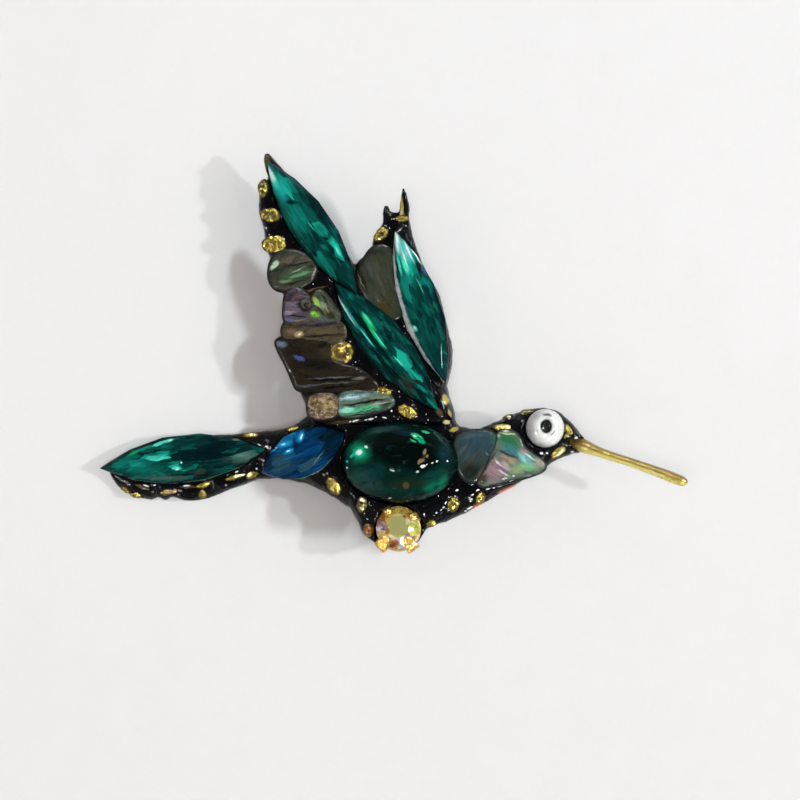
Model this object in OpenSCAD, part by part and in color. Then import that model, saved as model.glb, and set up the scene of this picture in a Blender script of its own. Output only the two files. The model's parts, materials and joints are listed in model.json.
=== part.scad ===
// Hummingbird brooch: a black moulded bird set with long glass stones, a domed oval stone, shell
// and gold, lying face up on its pin. Millimetres. X runs from tail to beak, Y across the wings.

/* [Body] */
// Length from the tail to the front of the head
bird_length = 78; // [74:0.5:82]
// Depth from the belly to the crown of the head
body_depth = 25; // [24:0.5:27]
// Thickness of the black body at its middle
body_thickness = 4; // [3.6:0.1:4.6]
// Width of the rounded shoulder along the edges of the body
body_shoulder = 3.2; // [2.4:0.1:4]

/* [Wings] */
// Length of the near wing from its tip to its root
near_wing_span = 43.8; // [42:0.2:47]
// Width that the near wing covers, from its trailing feathers to its root
near_wing_width = 33; // [32:0.5:36]
// Height of the near wing's face above the back of the body
near_wing_height = 5; // [4.6:0.1:5.8]
// Length of the far wing from the foot of its spikes to its root
far_wing_span = 33.8; // [33:0.2:36]
// Width that the far wing covers
far_wing_width = 17; // [16.5:0.5:19]
// Height of the far wing's face above the back of the body
far_wing_height = 4.2; // [3.8:0.1:4.6]
// Width of the rounded shoulder along the edges of the wings
wing_shoulder = 1.5; // [1.1:0.1:2]
// Length of the longer spike on the far wing
spike_length = 4.6; // [3:0.2:6]
// Thickness of a spike at its foot
spike_thickness = 1.9; // [1.5:0.1:2.2]

/* [Long stones] */
// Length of the tail's stone
tail_stone_length = 26.6; // [24:0.2:28]
// Width of the tail's stone
tail_stone_width = 7.7; // [6.8:0.1:8.4]
// Length of the near wing's outer stone
upper_stone_length = 26.4; // [24:0.2:28]
// Width of the near wing's outer stone
upper_stone_width = 6.4; // [5.6:0.1:6.8]
// Length of the near wing's inner stone
lower_stone_length = 26.6; // [24:0.2:28]
// Width of the near wing's inner stone
lower_stone_width = 6.2; // [5.4:0.1:6.6]
// Length of the far wing's stone
far_stone_length = 26.1; // [24:0.2:27.5]
// Width of the far wing's stone
far_stone_width = 6.6; // [5.8:0.1:7.2]
// Length of the small blue stone
blue_stone_length = 15; // [13:0.2:16]
// Width of the small blue stone
blue_stone_width = 7; // [6:0.1:7.6]
// Height of a long stone's crown above its girdle
crown_height = 1.7; // [1.2:0.1:2.2]
// Depth of a long stone's back below its girdle
pavilion_depth = 1.1; // [0.7:0.1:1.3]
// Thickness of a stone's girdle
girdle = 0.35; // [0.25:0.05:0.5]

/* [Oval stone] */
// Length of the oval stone
oval_length = 18.2; // [16:0.2:19]
// Width of the oval stone
oval_width = 12.8; // [11:0.2:13.4]
// Height of the oval stone from its flat back to its crown
oval_height = 5; // [4:0.1:6]
// Depth that the oval stone is set into the body
oval_sink = 1; // [0.6:0.1:1.6]

/* [Round stone] */
// Diameter of the round stone
round_stone_d = 6.5; // [6:0.1:7]
// Wall of the round stone's cup
cup_wall = 0.4; // [0.35:0.05:0.6]
// Height of the round stone's cup
cup_height = 2.3; // [2:0.1:2.8]
// Lean of the round stone towards the oval stone
round_lean = 12; // [4:1:18]

/* [Eye] */
// Diameter of the white bead
bead_d = 6.2; // [5.4:0.1:6.4]
// Height of the white bead along its hole
bead_height = 4.6; // [4:0.1:5.4]
// Diameter of the bead's hole
bead_hole = 1.6; // [1.2:0.1:2.2]

/* [Beak] */
// Length of the beak past the head
beak_length = 17.8; // [14:0.2:22]
// Thickness of the beak at its middle
beak_thickness = 1.5; // [1.2:0.1:2]
// Length of the beak's root inside the head
beak_root = 2.6; // [2:0.1:3]

/* [Shell] */
// Thickness of a piece of shell
shell_thickness = 1.3; // [1:0.1:1.6]
// Height that the shell stands above the black around it
shell_rise = 0.45; // [0.2:0.05:0.7]

/* [Gold] */
// Height that a dab of gold stands above the black around it
dab_rise = 0.35; // [0.2:0.05:0.5]
// Depth that a dab of gold is let into the black
dab_sink = 0.35; // [0.2:0.05:0.5]

/* [Pin] */
// Length of the pin's bar
pin_length = 31; // [28:0.5:32]
// Width of the pin's bar
pin_width = 5; // [4:0.2:6]
// Thickness of the pin's bar
pin_plate = 0.8; // [0.6:0.1:1.2]
// Height from the back of the bird to the foot of the pin
pin_height = 5.5; // [5:0.1:6]
// Length of each block at the ends of the bar
pin_block = 3.6; // [3:0.1:4.5]
// Thickness of the pin's stem
stem_d = 0.9; // [0.7:0.1:1.1]

/* [Fit] */
// Clearance round each piece that is set into the black body
clearance = 0.1; // [0.06:0.01:0.15]

/* [Hidden] */

// Where the black body starts on the back plane: its tail's end and its belly line.
BODY_START = [-0.6026 * bird_length, -1.32 * body_depth];

// Each wing grows from the body: the outer line of its root, as shares of the body's length and
// depth, and the start of its tip above that.
NEAR_ROOT = [0.314, 0.872];
FAR_ROOT = [0.513, 0.88];
function on_body(share) = BODY_START + [share.x * bird_length, share.y * body_depth];
NEAR_START = on_body(NEAR_ROOT) + [0, near_wing_span];
FAR_START = on_body(FAR_ROOT) + [0, far_wing_span];

// Columns of the tables of sections.
AT = 0;
LOW = 1;
HIGH = 2;
TOP = 3;
BACK = 4;
SHOULDER = 5;

// The body from the tail to the head. Places along are shares of bird_length, both edges are shares
// of body_depth, top and back are shares of body_thickness, and the shoulder is a share of its own.
BODY = [
    [0, 0.548, 0.588, 0.48, 0.1, 0.3],
    [0.017, 0.456, 0.616, 0.54, 0, 0.5],
    [0.054, 0.388, 0.674, 0.57, 0, 0.6],
    [0.09, 0.37, 0.722, 0.59, 0, 0.6],
    [0.104, 0.388, 0.738, 0.6, 0, 0.6],
    [0.118, 0.362, 0.752, 0.6, 0, 0.6],
    [0.133, 0.388, 0.764, 0.61, 0, 0.6],
    [0.155, 0.366, 0.778, 0.61, 0, 0.6],
    [0.18, 0.364, 0.788, 0.62, 0, 0.6],
    [0.205, 0.376, 0.796, 0.63, 0, 0.6],
    [0.262, 0.44, 0.804, 0.68, 0, 0.6],
    [0.315, 0.504, 0.82, 0.76, 0, 0.6],
    [0.355, 0.512, 0.832, 0.84, 0, 0.7],
    [0.387, 0.496, 0.856, 0.9, 0, 0.8],
    [0.418, 0.476, 0.92, 0.95, 0, 1],
    [0.449, 0.432, 0.96, 1, 0, 1.1],
    [0.481, 0.372, 0.98, 1, 0, 1.3],
    [0.508, 0.32, 1, 1, 0, 1.5],
    [0.523, 0.24, 1, 1, 0, 1.7],
    [0.535, 0.15, 1, 0.98, 0, 1.9],
    [0.551, 0.108, 1, 0.96, 0, 2],
    [0.567, 0.066, 1, 0.95, 0, 2],
    [0.615, 0.056, 1, 0.95, 0, 2],
    [0.651, 0.09, 1, 0.95, 0, 2],
    [0.667, 0.18, 1, 0.96, 0, 1.8],
    [0.721, 0.244, 0.92, 1, 0, 1.4],
    [0.737, 0.268, 0.856, 1, 0, 1.3],
    [0.773, 0.324, 0.836, 0.98, 0, 1.1],
    [0.814, 0.404, 0.888, 0.96, 0, 1],
    [0.845, 0.448, 0.932, 0.96, 0, 0.9],
    [0.877, 0.516, 0.964, 0.96, 0, 0.9],
    [0.91, 0.558, 0.98, 0.96, 0, 0.9],
    [0.927, 0.61, 0.972, 0.95, 0, 0.9],
    [0.95, 0.648, 0.94, 0.9, 0, 0.8],
    [0.97, 0.672, 0.884, 0.84, 0, 0.7],
    [0.99, 0.684, 0.808, 0.76, 0.04, 0.6],
    [1, 0.708, 0.768, 0.64, 0.12, 0.4]
];

// The near wing from its tip to its root. Places along are shares of near_wing_span, both edges are
// shares of near_wing_width, and top and back are shares of near_wing_height.
NEAR_WING = [
    [0, 0.048, 0.067, 0.86, 0.6, 0.3],
    [0.027, 0.038, 0.097, 0.92, 0.56, 0.5],
    [0.066, 0.048, 0.148, 0.94, 0.52, 0.7],
    [0.094, 0.064, 0.194, 0.95, 0.5, 0.8],
    [0.112, 0.03, 0.221, 0.95, 0.49, 0.9],
    [0.142, 0.018, 0.258, 0.96, 0.47, 1],
    [0.196, 0.009, 0.321, 0.96, 0.44, 1],
    [0.231, 0.017, 0.355, 0.96, 0.42, 1],
    [0.288, 0.039, 0.4, 0.97, 0.38, 1],
    [0.352, 0.042, 0.436, 0.97, 0.33, 1],
    [0.381, 0.068, 0.461, 0.97, 0.3, 1],
    [0.425, 0.055, 0.494, 0.98, 0.25, 1],
    [0.461, 0.064, 0.521, 0.98, 0.2, 1],
    [0.5, 0.112, 0.548, 0.98, 0.14, 1],
    [0.548, 0.145, 0.597, 0.99, 0.08, 1],
    [0.619, 0.142, 0.694, 1, 0.02, 1],
    [0.671, 0.136, 0.745, 1, 0, 1],
    [0.685, 0.15, 0.758, 1, 0, 1],
    [0.7, 0.1, 0.77, 1, 0, 1],
    [0.733, 0.112, 0.8, 1, 0, 1],
    [0.808, 0.173, 0.867, 1, 0, 1],
    [0.863, 0.194, 0.915, 1, 0, 1],
    [0.906, 0.227, 0.955, 1, 0, 1],
    [0.968, 0.252, 0.982, 0.98, 0, 1],
    [1, 0.288, 0.955, 0.9, 0, 1]
];

// The far wing from the foot of its spikes to its root, laid out as the near wing is.
FAR_WING = [
    [0, 0.33, 0.558, 1.1, 0.66, 0.6],
    [0.044, 0.312, 0.576, 1.12, 0.62, 0.8],
    [0.107, 0.218, 0.597, 1.1, 0.56, 1],
    [0.166, 0.188, 0.635, 1.08, 0.5, 1],
    [0.201, 0.141, 0.659, 1.07, 0.46, 1],
    [0.225, 0.071, 0.676, 1.06, 0.43, 1],
    [0.269, 0.024, 0.712, 1.05, 0.38, 1],
    [0.349, 0.059, 0.8, 1.03, 0.28, 1],
    [0.402, 0.106, 0.859, 1.02, 0.2, 1],
    [0.533, 0.235, 0.912, 1, 0.03, 1],
    [0.654, 0.412, 0.965, 1, 0, 1],
    [0.725, 0.5, 0.959, 1, 0, 1],
    [0.796, 0.618, 0.935, 1, 0, 1],
    [0.822, 0.647, 0.909, 1, 0, 1],
    [0.911, 0.735, 0.953, 1, 0, 1],
    [1, 0.765, 1, 0.96, 0, 1]
];

// A form is its table and the sizes that the table's shares are taken of: length, width, height
// and shoulder.
BODY_FORM = [BODY, bird_length, body_depth, body_thickness, body_shoulder];
NEAR_FORM = [NEAR_WING, near_wing_span, near_wing_width, near_wing_height, wing_shoulder];
FAR_FORM = [FAR_WING, far_wing_span, far_wing_width, far_wing_height, wing_shoulder];
FORMS = [BODY_FORM, NEAR_FORM, FAR_FORM];
ON_BODY = 0;
ON_NEAR = 1;
ON_FAR = 2;

// The widest line of a rounded side, as a share of the height there, and how far the side draws in
// at the back, as a share of its shoulder.
SIDE = 0.2;
TUCK = 0.25;
ARC_STEPS = 4;

// The point of a form at shares of its length and width, in the plan of the whole bird.
function spot(form, along, across) =
    form == ON_BODY
        ? on_body([along, across])
        : form == ON_NEAR
            ? NEAR_START + [across * near_wing_width, -along * near_wing_span]
            : FAR_START + [across * far_wing_width, -along * far_wing_span];

// One section of a form, as points across and up, anticlockwise as seen from its far end.
function section(row, form) =
    let (
        low = row[LOW] * form[2],
        high = row[HIGH] * form[2],
        top = row[TOP] * form[3],
        back = row[BACK] * form[3],
        round_w = min(row[SHOULDER] * form[4], 0.45 * (high - low)),
        side = back + SIDE * (top - back)
    )
    concat(
        [[low + TUCK * round_w, back], [high - TUCK * round_w, back]],
        [for (i = [0:ARC_STEPS]) let (a = 90 * i / ARC_STEPS)
            [high - round_w * (1 - cos(a)), side + (top - side) * sin(a)]],
        [for (i = [ARC_STEPS:-1:0]) let (a = 90 * i / ARC_STEPS)
            [low + round_w * (1 - cos(a)), side + (top - side) * sin(a)]]
    );

// The row of a form's table at a share of its length, between the two rows that are nearest.
function row_at(rows, along) =
    let (
        last = len(rows) - 1,
        t = min(max(along, 0.0001), 0.9999),
        i = [for (k = [0:last - 1]) if (rows[k][AT] <= t && t < rows[k + 1][AT]) k][0],
        f = (t - rows[i][AT]) / (rows[i + 1][AT] - rows[i][AT])
    )
    rows[i] * (1 - f) + rows[i + 1] * f;

// Height of a form's face at shares of its length and width.
function face_height(form, along, across) =
    let (
        row = row_at(form[0], along),
        low = row[LOW] * form[2],
        high = row[HIGH] * form[2],
        top = row[TOP] * form[3],
        back = row[BACK] * form[3],
        round_w = min(row[SHOULDER] * form[4], 0.45 * (high - low)),
        side = back + SIDE * (top - back),
        c = across * form[2],
        inside = min(c - low, high - c),
        reach = min(max(inside / round_w, 0), 1)
    )
    side + (top - side) * sqrt(1 - pow(1 - reach, 2));

// Upward direction of a form's face, in the plan of the whole bird.
NUDGE = 0.25;
function face_normal(kind, along, across) =
    let (
        form = FORMS[kind],
        da = NUDGE / form[1],
        dc = NUDGE / form[2],
        slope_a = (face_height(form, along + da, across) - face_height(form, along - da, across)) / (2 * NUDGE),
        slope_c = (face_height(form, along, across + dc) - face_height(form, along, across - dc)) / (2 * NUDGE),
        n = kind == ON_BODY ? [-slope_a, -slope_c, 1] : [-slope_c, slope_a, 1]
    )
    n / norm(n);

// Faces of a closed loft of rings that each hold the same number of points.
function loft_faces(rings, n) =
    concat(
        [[for (j = [0:n - 1]) j]],
        [for (i = [0:rings - 2], j = [0:n - 1])
            [i * n + j, (i + 1) * n + j, (i + 1) * n + (j + 1) % n]],
        [for (i = [0:rings - 2], j = [0:n - 1])
            [i * n + j, (i + 1) * n + (j + 1) % n, i * n + (j + 1) % n]],
        [[for (j = [n - 1:-1:0]) (rings - 1) * n + j]]
    );

module loft(rings) {
    n = len(rings[0]);
    polyhedron(
        points = [for (ring = rings, p = ring) p],
        faces = loft_faces(len(rings), n),
        convexity = 6
    );
}

module form_solid(kind) {
    form = FORMS[kind];
    start = spot(kind, 0, 0);
    translate([start.x, start.y, 0])
        rotate([0, 0, kind == ON_BODY ? 0 : -90])
            loft([for (row = form[0]) [for (p = section(row, form)) [row[AT] * form[1], p.x, p.y]]]);
}

// Outline of a pointed long stone: two arcs that meet at its tips, anticlockwise.
STONE_STEPS = 7;
function long_outline(l, w) =
    let (
        r = (l * l + w * w) / (4 * w),
        half = asin(l / (2 * r))
    )
    concat(
        [for (i = [0:STONE_STEPS]) let (a = -half + 2 * half * i / STONE_STEPS)
            [r * sin(a), -(r * cos(a) - r + w / 2)]],
        [for (i = [1:STONE_STEPS - 1]) let (a = half - 2 * half * i / STONE_STEPS)
            [r * sin(a), r * cos(a) - r + w / 2]]
    );

function lifted(outline, sx, sy, z) = [for (p = outline) [p.x * sx, p.y * sy, z]];

// Shares of a long stone's plan that its back and its table keep.
BACK_SHARE = [0.84, 0.5];
TABLE_SHARE = [0.86, 0.46];
module long_stone(l, w) {
    outline = long_outline(l, w);
    loft([
        lifted(outline, BACK_SHARE.x, BACK_SHARE.y, -pavilion_depth),
        lifted(outline, 1, 1, 0),
        lifted(outline, 1, 1, girdle),
        lifted(outline, TABLE_SHARE.x, TABLE_SHARE.y, crown_height)
    ]);
}

// Height above a seat's rim to which the room for a stone is cleared.
HEADROOM = 3;
module long_seat(l, w) {
    outline = long_outline(l + 4 * clearance, w + 2 * clearance);
    loft([
        lifted(outline, BACK_SHARE.x, BACK_SHARE.y, -pavilion_depth - clearance),
        lifted(outline, 1, 1, -clearance),
        lifted(outline, 1, 1, HEADROOM)
    ]);
}

// Places of the stones: the form that carries each, its middle as shares of that form, and how far
// it is turned from the X axis.
TAIL_PLACE = [ON_BODY, 0.161, 0.64, 6.4];
BLUE_PLACE = [ON_BODY, 0.414, 0.684, 25.5];
OVAL_PLACE = [ON_BODY, 0.614, 0.608, 0];
ROUND_PLACE = [ON_BODY, 0.614, 0.166, 0];
BEAD_PLACE = [ON_BODY, 0.915, 0.838, 0];
UPPER_PLACE = [ON_NEAR, 0.281, 0.28, -55.9];
FAR_PLACE = [ON_FAR, 0.451, 0.679, -71.4];

function middle(place) = spot(place[0], place[1], place[2]);
function direction(turn) = [cos(turn), sin(turn)];
function beside(turn) = [sin(turn), -cos(turn)];

// The near wing's inner stone starts beside the tip of its outer one.
LOWER_TURN = -50.9;
TIPS_PAST = 0.14 * upper_stone_length;
TIPS_APART = 0.3125 * upper_stone_width;
upper_end = middle(UPPER_PLACE) + direction(UPPER_PLACE[3]) * upper_stone_length / 2;
lower_start = upper_end - direction(UPPER_PLACE[3]) * TIPS_PAST + beside(UPPER_PLACE[3]) * TIPS_APART;
lower_middle = lower_start + direction(LOWER_TURN) * lower_stone_length / 2;

// Heights of the girdles above the back plane, from the faces that carry them.
GIRDLE_SINK = 0.15;
tail_girdle = face_height(BODY_FORM, TAIL_PLACE[1], TAIL_PLACE[2]) - GIRDLE_SINK;
blue_girdle = face_height(BODY_FORM, BLUE_PLACE[1], BLUE_PLACE[2]) - GIRDLE_SINK;
near_girdle = face_height(NEAR_FORM, UPPER_PLACE[1], UPPER_PLACE[2]) - GIRDLE_SINK;
far_girdle = face_height(FAR_FORM, FAR_PLACE[1], FAR_PLACE[2]) - GIRDLE_SINK;
oval_floor = face_height(BODY_FORM, OVAL_PLACE[1], OVAL_PLACE[2]) - oval_sink;

// The far wing's stone leans, so that the side next to the near wing stands higher.
FAR_LEAN = 5;

module at_place(p, z, turn) {
    translate([p.x, p.y, z]) rotate([0, 0, turn]) children();
}

// The whole bird leans back on its pin: the tail's end and the feet of the pin touch the surface.
PIN_X = 0.059 * bird_length;
PIN_TOP_Y = 0.2 * body_depth;
foot_x = PIN_X - pin_width / 2;
tail_foot_x = BODY_START.x + BODY[1][AT] * bird_length;
lean = atan(pin_height / (foot_x - tail_foot_x));
tail_tip = middle(TAIL_PLACE) - direction(TAIL_PLACE[3]) * tail_stone_length / 2;

// The beak's line in plan from the front of the head, as shares of beak_length: ahead and down.
// Its thickness is a share of beak_thickness, across and up.
BEAK_START = on_body([0.99, 0.736]);
BEAK = [
    [-0.02, 0.005, 1.45, 1.25],
    [0.06, -0.028, 1.4, 1.25],
    [0.13, -0.055, 1.2, 1.15],
    [0.2, -0.08, 1.03, 1.05],
    [0.32, -0.12, 0.96, 1],
    [0.46, -0.164, 0.94, 0.98],
    [0.6, -0.212, 1.02, 1],
    [0.74, -0.262, 1.14, 1.02],
    [0.87, -0.312, 1.2, 1.03],
    [0.95, -0.342, 1.16, 1],
    [0.985, -0.356, 0.86, 0.8],
    [1, -0.362, 0.4, 0.4]
];
BEAK_SIDES = 10;
BEAK_Z = 0.525 * body_thickness;
BEAK_DROP = -20;

beak_tip_x = BEAK_START.x + beak_length;
left_end = tail_tip.x * cos(lean) - tail_girdle * sin(lean);
right_end = beak_tip_x * cos(lean) - BEAK_Z * sin(lean);
front_end = middle(ROUND_PLACE).y - round_stone_d / 2 - cup_wall;
back_end = NEAR_START.y;
floor_z = tail_foot_x * sin(lean);

module rest_pose() {
    translate([-(left_end + right_end) / 2, -(front_end + back_end) / 2, -floor_z])
        rotate([0, -lean, 0])
            children();
}

// A lobe is a low swelling of the black edge: form, place along and across as shares, length,
// width, height and turn.
LOBES = [
    [ON_BODY, 0.056, 0.43, 3.4, 1.5, 1.7, -14],
    [ON_BODY, 0.094, 0.42, 1.9, 1.5, 1.9, 0],
    [ON_BODY, 0.118, 0.41, 1.7, 1.5, 2, 0],
    [ON_BODY, 0.165, 0.42, 4.2, 2, 2.1, 0],
    [ON_BODY, 0.215, 0.44, 3.6, 1.8, 2.2, 14],
    [ON_NEAR, 0.134, 0.05, 2.6, 1.7, 4.1, 90],
    [ON_NEAR, 0.225, 0.066, 3.4, 2.4, 4.2, 90],
    [ON_NEAR, 0.338, 0.092, 3.4, 2.6, 4.2, 90],
    [ON_FAR, 0.1, 0.31, 2.2, 1.8, 4.2, 40]
];
LOBE_SIDES = 12;
LOBE_SWELL = 0.9;

module lobe(l, w, z) {
    hull()
        for (side = [-1, 1])
            translate([side * (l - w) / 2, 0, z])
                scale([1, 1, LOBE_SWELL * 2 / w])
                    sphere(d = w, $fn = LOBE_SIDES);
}

// A spike runs from the far wing's edge: its foot as shares, its length as a share of spike_length
// and its thickness as a share of spike_thickness.
SPIKES = [
    [0.02, 0.52, 1, 1],
    [0.02, 0.348, 0.42, 0.8]
];
SPIKE_TIP = 0.35;
SPIKE_SUNK = 0.8;
SPIKE_Z = 0.93 * far_wing_height;
SPIKE_RISE = 0.2 * spike_length;
// The waist of a spike: its place along, its rise and its thickness, as shares.
WAIST = [0.3, 0.11, 0.72];
module spike(row) {
    foot = spot(ON_FAR, row[0], row[1]);
    d = spike_thickness * row[3];
    rise = SPIKE_RISE * row[2];
    tip_y = FAR_START.y - SPIKE_SUNK + spike_length * row[2];
    hull() {
        translate([foot.x, foot.y - d, SPIKE_Z]) sphere(d = d, $fn = LOBE_SIDES);
        translate([foot.x, foot.y + WAIST[0] * (tip_y - foot.y), SPIKE_Z + WAIST[1] * rise])
            sphere(d = WAIST[2] * d, $fn = LOBE_SIDES);
        translate([foot.x, tip_y, SPIKE_Z + rise]) sphere(d = SPIKE_TIP, $fn = LOBE_SIDES);
    }
}

// One rounding pass over a closed outline.
function rounded(p) =
    let (n = len(p))
    [for (i = [0:n - 1], f = [0.25, 0.75]) p[i] * (1 - f) + p[(i + 1) % n] * f];

// Outlines of the pieces of shell, as points at shares of the form that carries them: along and
// across, anticlockwise in the plan of the whole bird.
OVAL_SHELL = [
    [0.378, 0.13], [0.4, 0.09], [0.44, 0.072], [0.478, 0.09], [0.492, 0.15], [0.482, 0.22],
    [0.456, 0.292], [0.42, 0.306], [0.392, 0.262], [0.376, 0.2]
];
PURPLE_SHELL = [
    [0.518, 0.232], [0.52, 0.17], [0.56, 0.156], [0.62, 0.154], [0.628, 0.2], [0.626, 0.27],
    [0.6, 0.278], [0.56, 0.282]
];
LIME_SHELL = [
    [0.522, 0.31], [0.566, 0.294], [0.606, 0.292], [0.624, 0.3], [0.624, 0.37], [0.606, 0.388],
    [0.57, 0.362], [0.534, 0.33]
];
STRIP_SHELL = [
    [0.642, 0.15], [0.672, 0.146], [0.68, 0.19], [0.684, 0.3], [0.682, 0.42], [0.664, 0.456],
    [0.642, 0.42], [0.636, 0.3]
];
LARGE_SHELL = [
    [0.704, 0.112], [0.72, 0.114], [0.78, 0.158], [0.85, 0.2], [0.868, 0.21], [0.872, 0.3],
    [0.872, 0.46], [0.866, 0.59], [0.848, 0.58], [0.816, 0.53], [0.8, 0.49], [0.79, 0.42],
    [0.758, 0.37], [0.7, 0.37], [0.692, 0.3], [0.692, 0.17]
];
ROUGH_SHELL = [
    [0.9, 0.292], [0.94, 0.282], [0.972, 0.292], [0.976, 0.35], [0.966, 0.402], [0.93, 0.41],
    [0.898, 0.398]
];
STRIPED_SHELL = [
    [0.898, 0.43], [0.93, 0.426], [0.966, 0.422], [0.968, 0.5], [0.956, 0.58], [0.936, 0.67],
    [0.918, 0.68], [0.9, 0.64], [0.892, 0.56], [0.886, 0.5]
];
FAR_SHELL = [
    [0.18, 0.25], [0.24, 0.17], [0.3, 0.12], [0.36, 0.14], [0.43, 0.22], [0.49, 0.35],
    [0.492, 0.47], [0.42, 0.43], [0.34, 0.4], [0.26, 0.385], [0.172, 0.376]
];
NECK_DARK_SHELL = [
    [0.739, 0.8], [0.74, 0.66], [0.748, 0.54], [0.762, 0.49], [0.78, 0.5], [0.798, 0.6],
    [0.816, 0.69], [0.819, 0.77], [0.81, 0.815], [0.775, 0.825]
];
NECK_BRIGHT_SHELL = [
    [0.83, 0.812], [0.828, 0.72], [0.813, 0.62], [0.796, 0.52], [0.79, 0.482], [0.81, 0.474],
    [0.85, 0.506], [0.888, 0.54], [0.915, 0.574], [0.917, 0.606], [0.9, 0.652], [0.874, 0.71],
    [0.868, 0.78], [0.85, 0.812]
];

function shell_plan(kind, outline) =
    rounded(rounded([for (p = outline) spot(kind, p[0], p[1])]));
function mean(p) = [for (q = p) 1] * p / len(p);
// An outline drawn in or out by a distance, towards or away from its middle.
function drawn(p, grow) =
    let (m = mean(p))
    [for (q = p) q + (q - m) / norm(q - m) * grow];
// An outline set off by a distance, square to its own edge.
function set_off(p, grow) =
    let (n = len(p))
    [for (i = [0:n - 1])
        let (t = p[(i + 1) % n] - p[(i + n - 1) % n])
            p[i] + [t.y, -t.x] / norm(t) * grow];
function plane(p, z) = [for (q = p) [q.x, q.y, z]];

// Levels of a piece of shell, as shares of its thickness, and how far its outline is drawn in there.
SHELL_LEVELS = [[0, 0.15], [0.45, 0], [0.85, 0.2], [1, 0.6]];
module shell_piece(kind, outline, z) {
    p = shell_plan(kind, outline);
    back = z + shell_rise - shell_thickness;
    loft([for (level = SHELL_LEVELS) plane(drawn(p, -level[1]), back + level[0] * shell_thickness)]);
}

// A seat's outline is set off by more than the clearance, for the sake of its corners.
CORNER_ROOM = 1.6;
module shell_seat(kind, outline, z) {
    p = set_off(shell_plan(kind, outline), CORNER_ROOM * clearance);
    back = z + shell_rise - shell_thickness - clearance;
    loft([plane(p, back), plane(p, z + HEADROOM)]);
}

// Heights of the faces round the shell, each read at one place of its form.
near_face = face_height(NEAR_FORM, 0.75, 0.4);
wing_tip_face = face_height(NEAR_FORM, 0.43, 0.2);
far_face = face_height(FAR_FORM, 0.3, 0.3);
neck_face = face_height(BODY_FORM, 0.8, 0.66);

// Each piece of shell: form, outline and height of the face round it.
SHELLS = [
    [ON_NEAR, OVAL_SHELL, wing_tip_face],
    [ON_NEAR, PURPLE_SHELL, near_face],
    [ON_NEAR, LIME_SHELL, near_face],
    [ON_NEAR, STRIP_SHELL, near_face],
    [ON_NEAR, LARGE_SHELL, near_face],
    [ON_NEAR, ROUGH_SHELL, near_face],
    [ON_NEAR, STRIPED_SHELL, near_face],
    [ON_FAR, FAR_SHELL, far_face],
    [ON_BODY, NECK_DARK_SHELL, neck_face],
    [ON_BODY, NECK_BRIGHT_SHELL, neck_face]
];

// The dabs of gold: form, place along and across as shares, length, width and turn.
DABS = [
    [ON_NEAR, 0.13, 0.045, 2.2, 1.5, 90],
    [ON_NEAR, 0.228, 0.08, 3.2, 2.1, -5],
    [ON_NEAR, 0.338, 0.1, 3.6, 2.6, 5],
    [ON_NEAR, 0.737, 0.436, 3.3, 3.2, 0],
    [ON_NEAR, 0.883, 0.642, 2.4, 1.5, -15],
    [ON_NEAR, 0.956, 0.757, 3, 1.8, -22],
    [ON_BODY, 0.478, 0.468, 2.9, 1.9, -60],
    [ON_BODY, 0.537, 0.348, 2.2, 1.6, 90],
    [ON_BODY, 0.55, 0.18, 2.2, 1.8, 80],
    [ON_BODY, 0.679, 0.224, 1.6, 1.3, 20],
    [ON_BODY, 0.728, 0.348, 2.4, 1.8, 70],
    [ON_BODY, 0.783, 0.388, 2.2, 1.6, 75],
    [ON_BODY, 0.83, 0.846, 2.2, 0.9, 0],
    [ON_BODY, 0.838, 0.914, 1.7, 0.8, 20],
    [ON_BODY, 0.88, 0.945, 2, 0.7, 12],
    [ON_BODY, 0.966, 0.83, 1.6, 0.9, -50],
    [ON_BODY, 0.945, 0.685, 2.3, 1.1, 33],
    [ON_BODY, 0.303, 0.796, 2.2, 0.7, 0],
    [ON_BODY, 0.392, 0.838, 2.2, 0.9, 12],
    [ON_BODY, 0.202, 0.472, 2.4, 0.9, 14],
    [ON_BODY, 0.2, 0.408, 1.3, 1.2, 30],
    [ON_BODY, 0.058, 0.402, 2, 0.9, -10],
    [ON_BODY, 0.034, 0.434, 1.7, 0.7, -32],
    [ON_BODY, 0.129, 0.424, 2.6, 0.9, 8],
    [ON_BODY, 0.27, 0.524, 3.2, 0.8, 15],
    [ON_BODY, 0.306, 0.536, 2, 1, 20],
    [ON_FAR, 0.104, 0.296, 2.6, 1.7, 38],
    [ON_FAR, 0.028, 0.5, 1.9, 1.3, 0]
];
DAB_SIDES = 10;
function dab_outline(l, w) =
    [for (i = [0:DAB_SIDES - 1]) let (a = 360 * i / DAB_SIDES) [l / 2 * cos(a), w / 2 * sin(a)]];

module at_dab(row) {
    p = spot(row[0], row[1], row[2]);
    n = face_normal(row[0], row[1], row[2]);
    z = face_height(FORMS[row[0]], row[1], row[2]);
    axis = cross([0, 0, 1], n);
    tilt = acos(n.z);
    translate([p.x, p.y, z])
        rotate(a = tilt, v = norm(axis) < 0.001 ? [1, 0, 0] : axis)
            rotate([0, 0, row[5]])
                children();
}

// A dab's plan shrinks to these shares at its foot, its brow and its crown.
DAB_FOOT = 0.86;
DAB_BROW = 0.84;
DAB_CROWN = 0.45;
BROW_RISE = 0.7;
DAB_CUT = 1;
module dab(row) {
    outline = dab_outline(row[3], row[4]);
    loft([
        lifted(outline, DAB_FOOT, DAB_FOOT, -dab_sink),
        lifted(outline, 1, 1, 0),
        lifted(outline, DAB_BROW, DAB_BROW, BROW_RISE * dab_rise),
        lifted(outline, DAB_CROWN, DAB_CROWN, dab_rise)
    ]);
}

module dab_seat(row) {
    outline = dab_outline(row[3] + 2 * clearance, row[4] + 2 * clearance);
    loft([lifted(outline, 1, 1, -dab_sink - clearance), lifted(outline, 1, 1, DAB_CUT)]);
}

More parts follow.
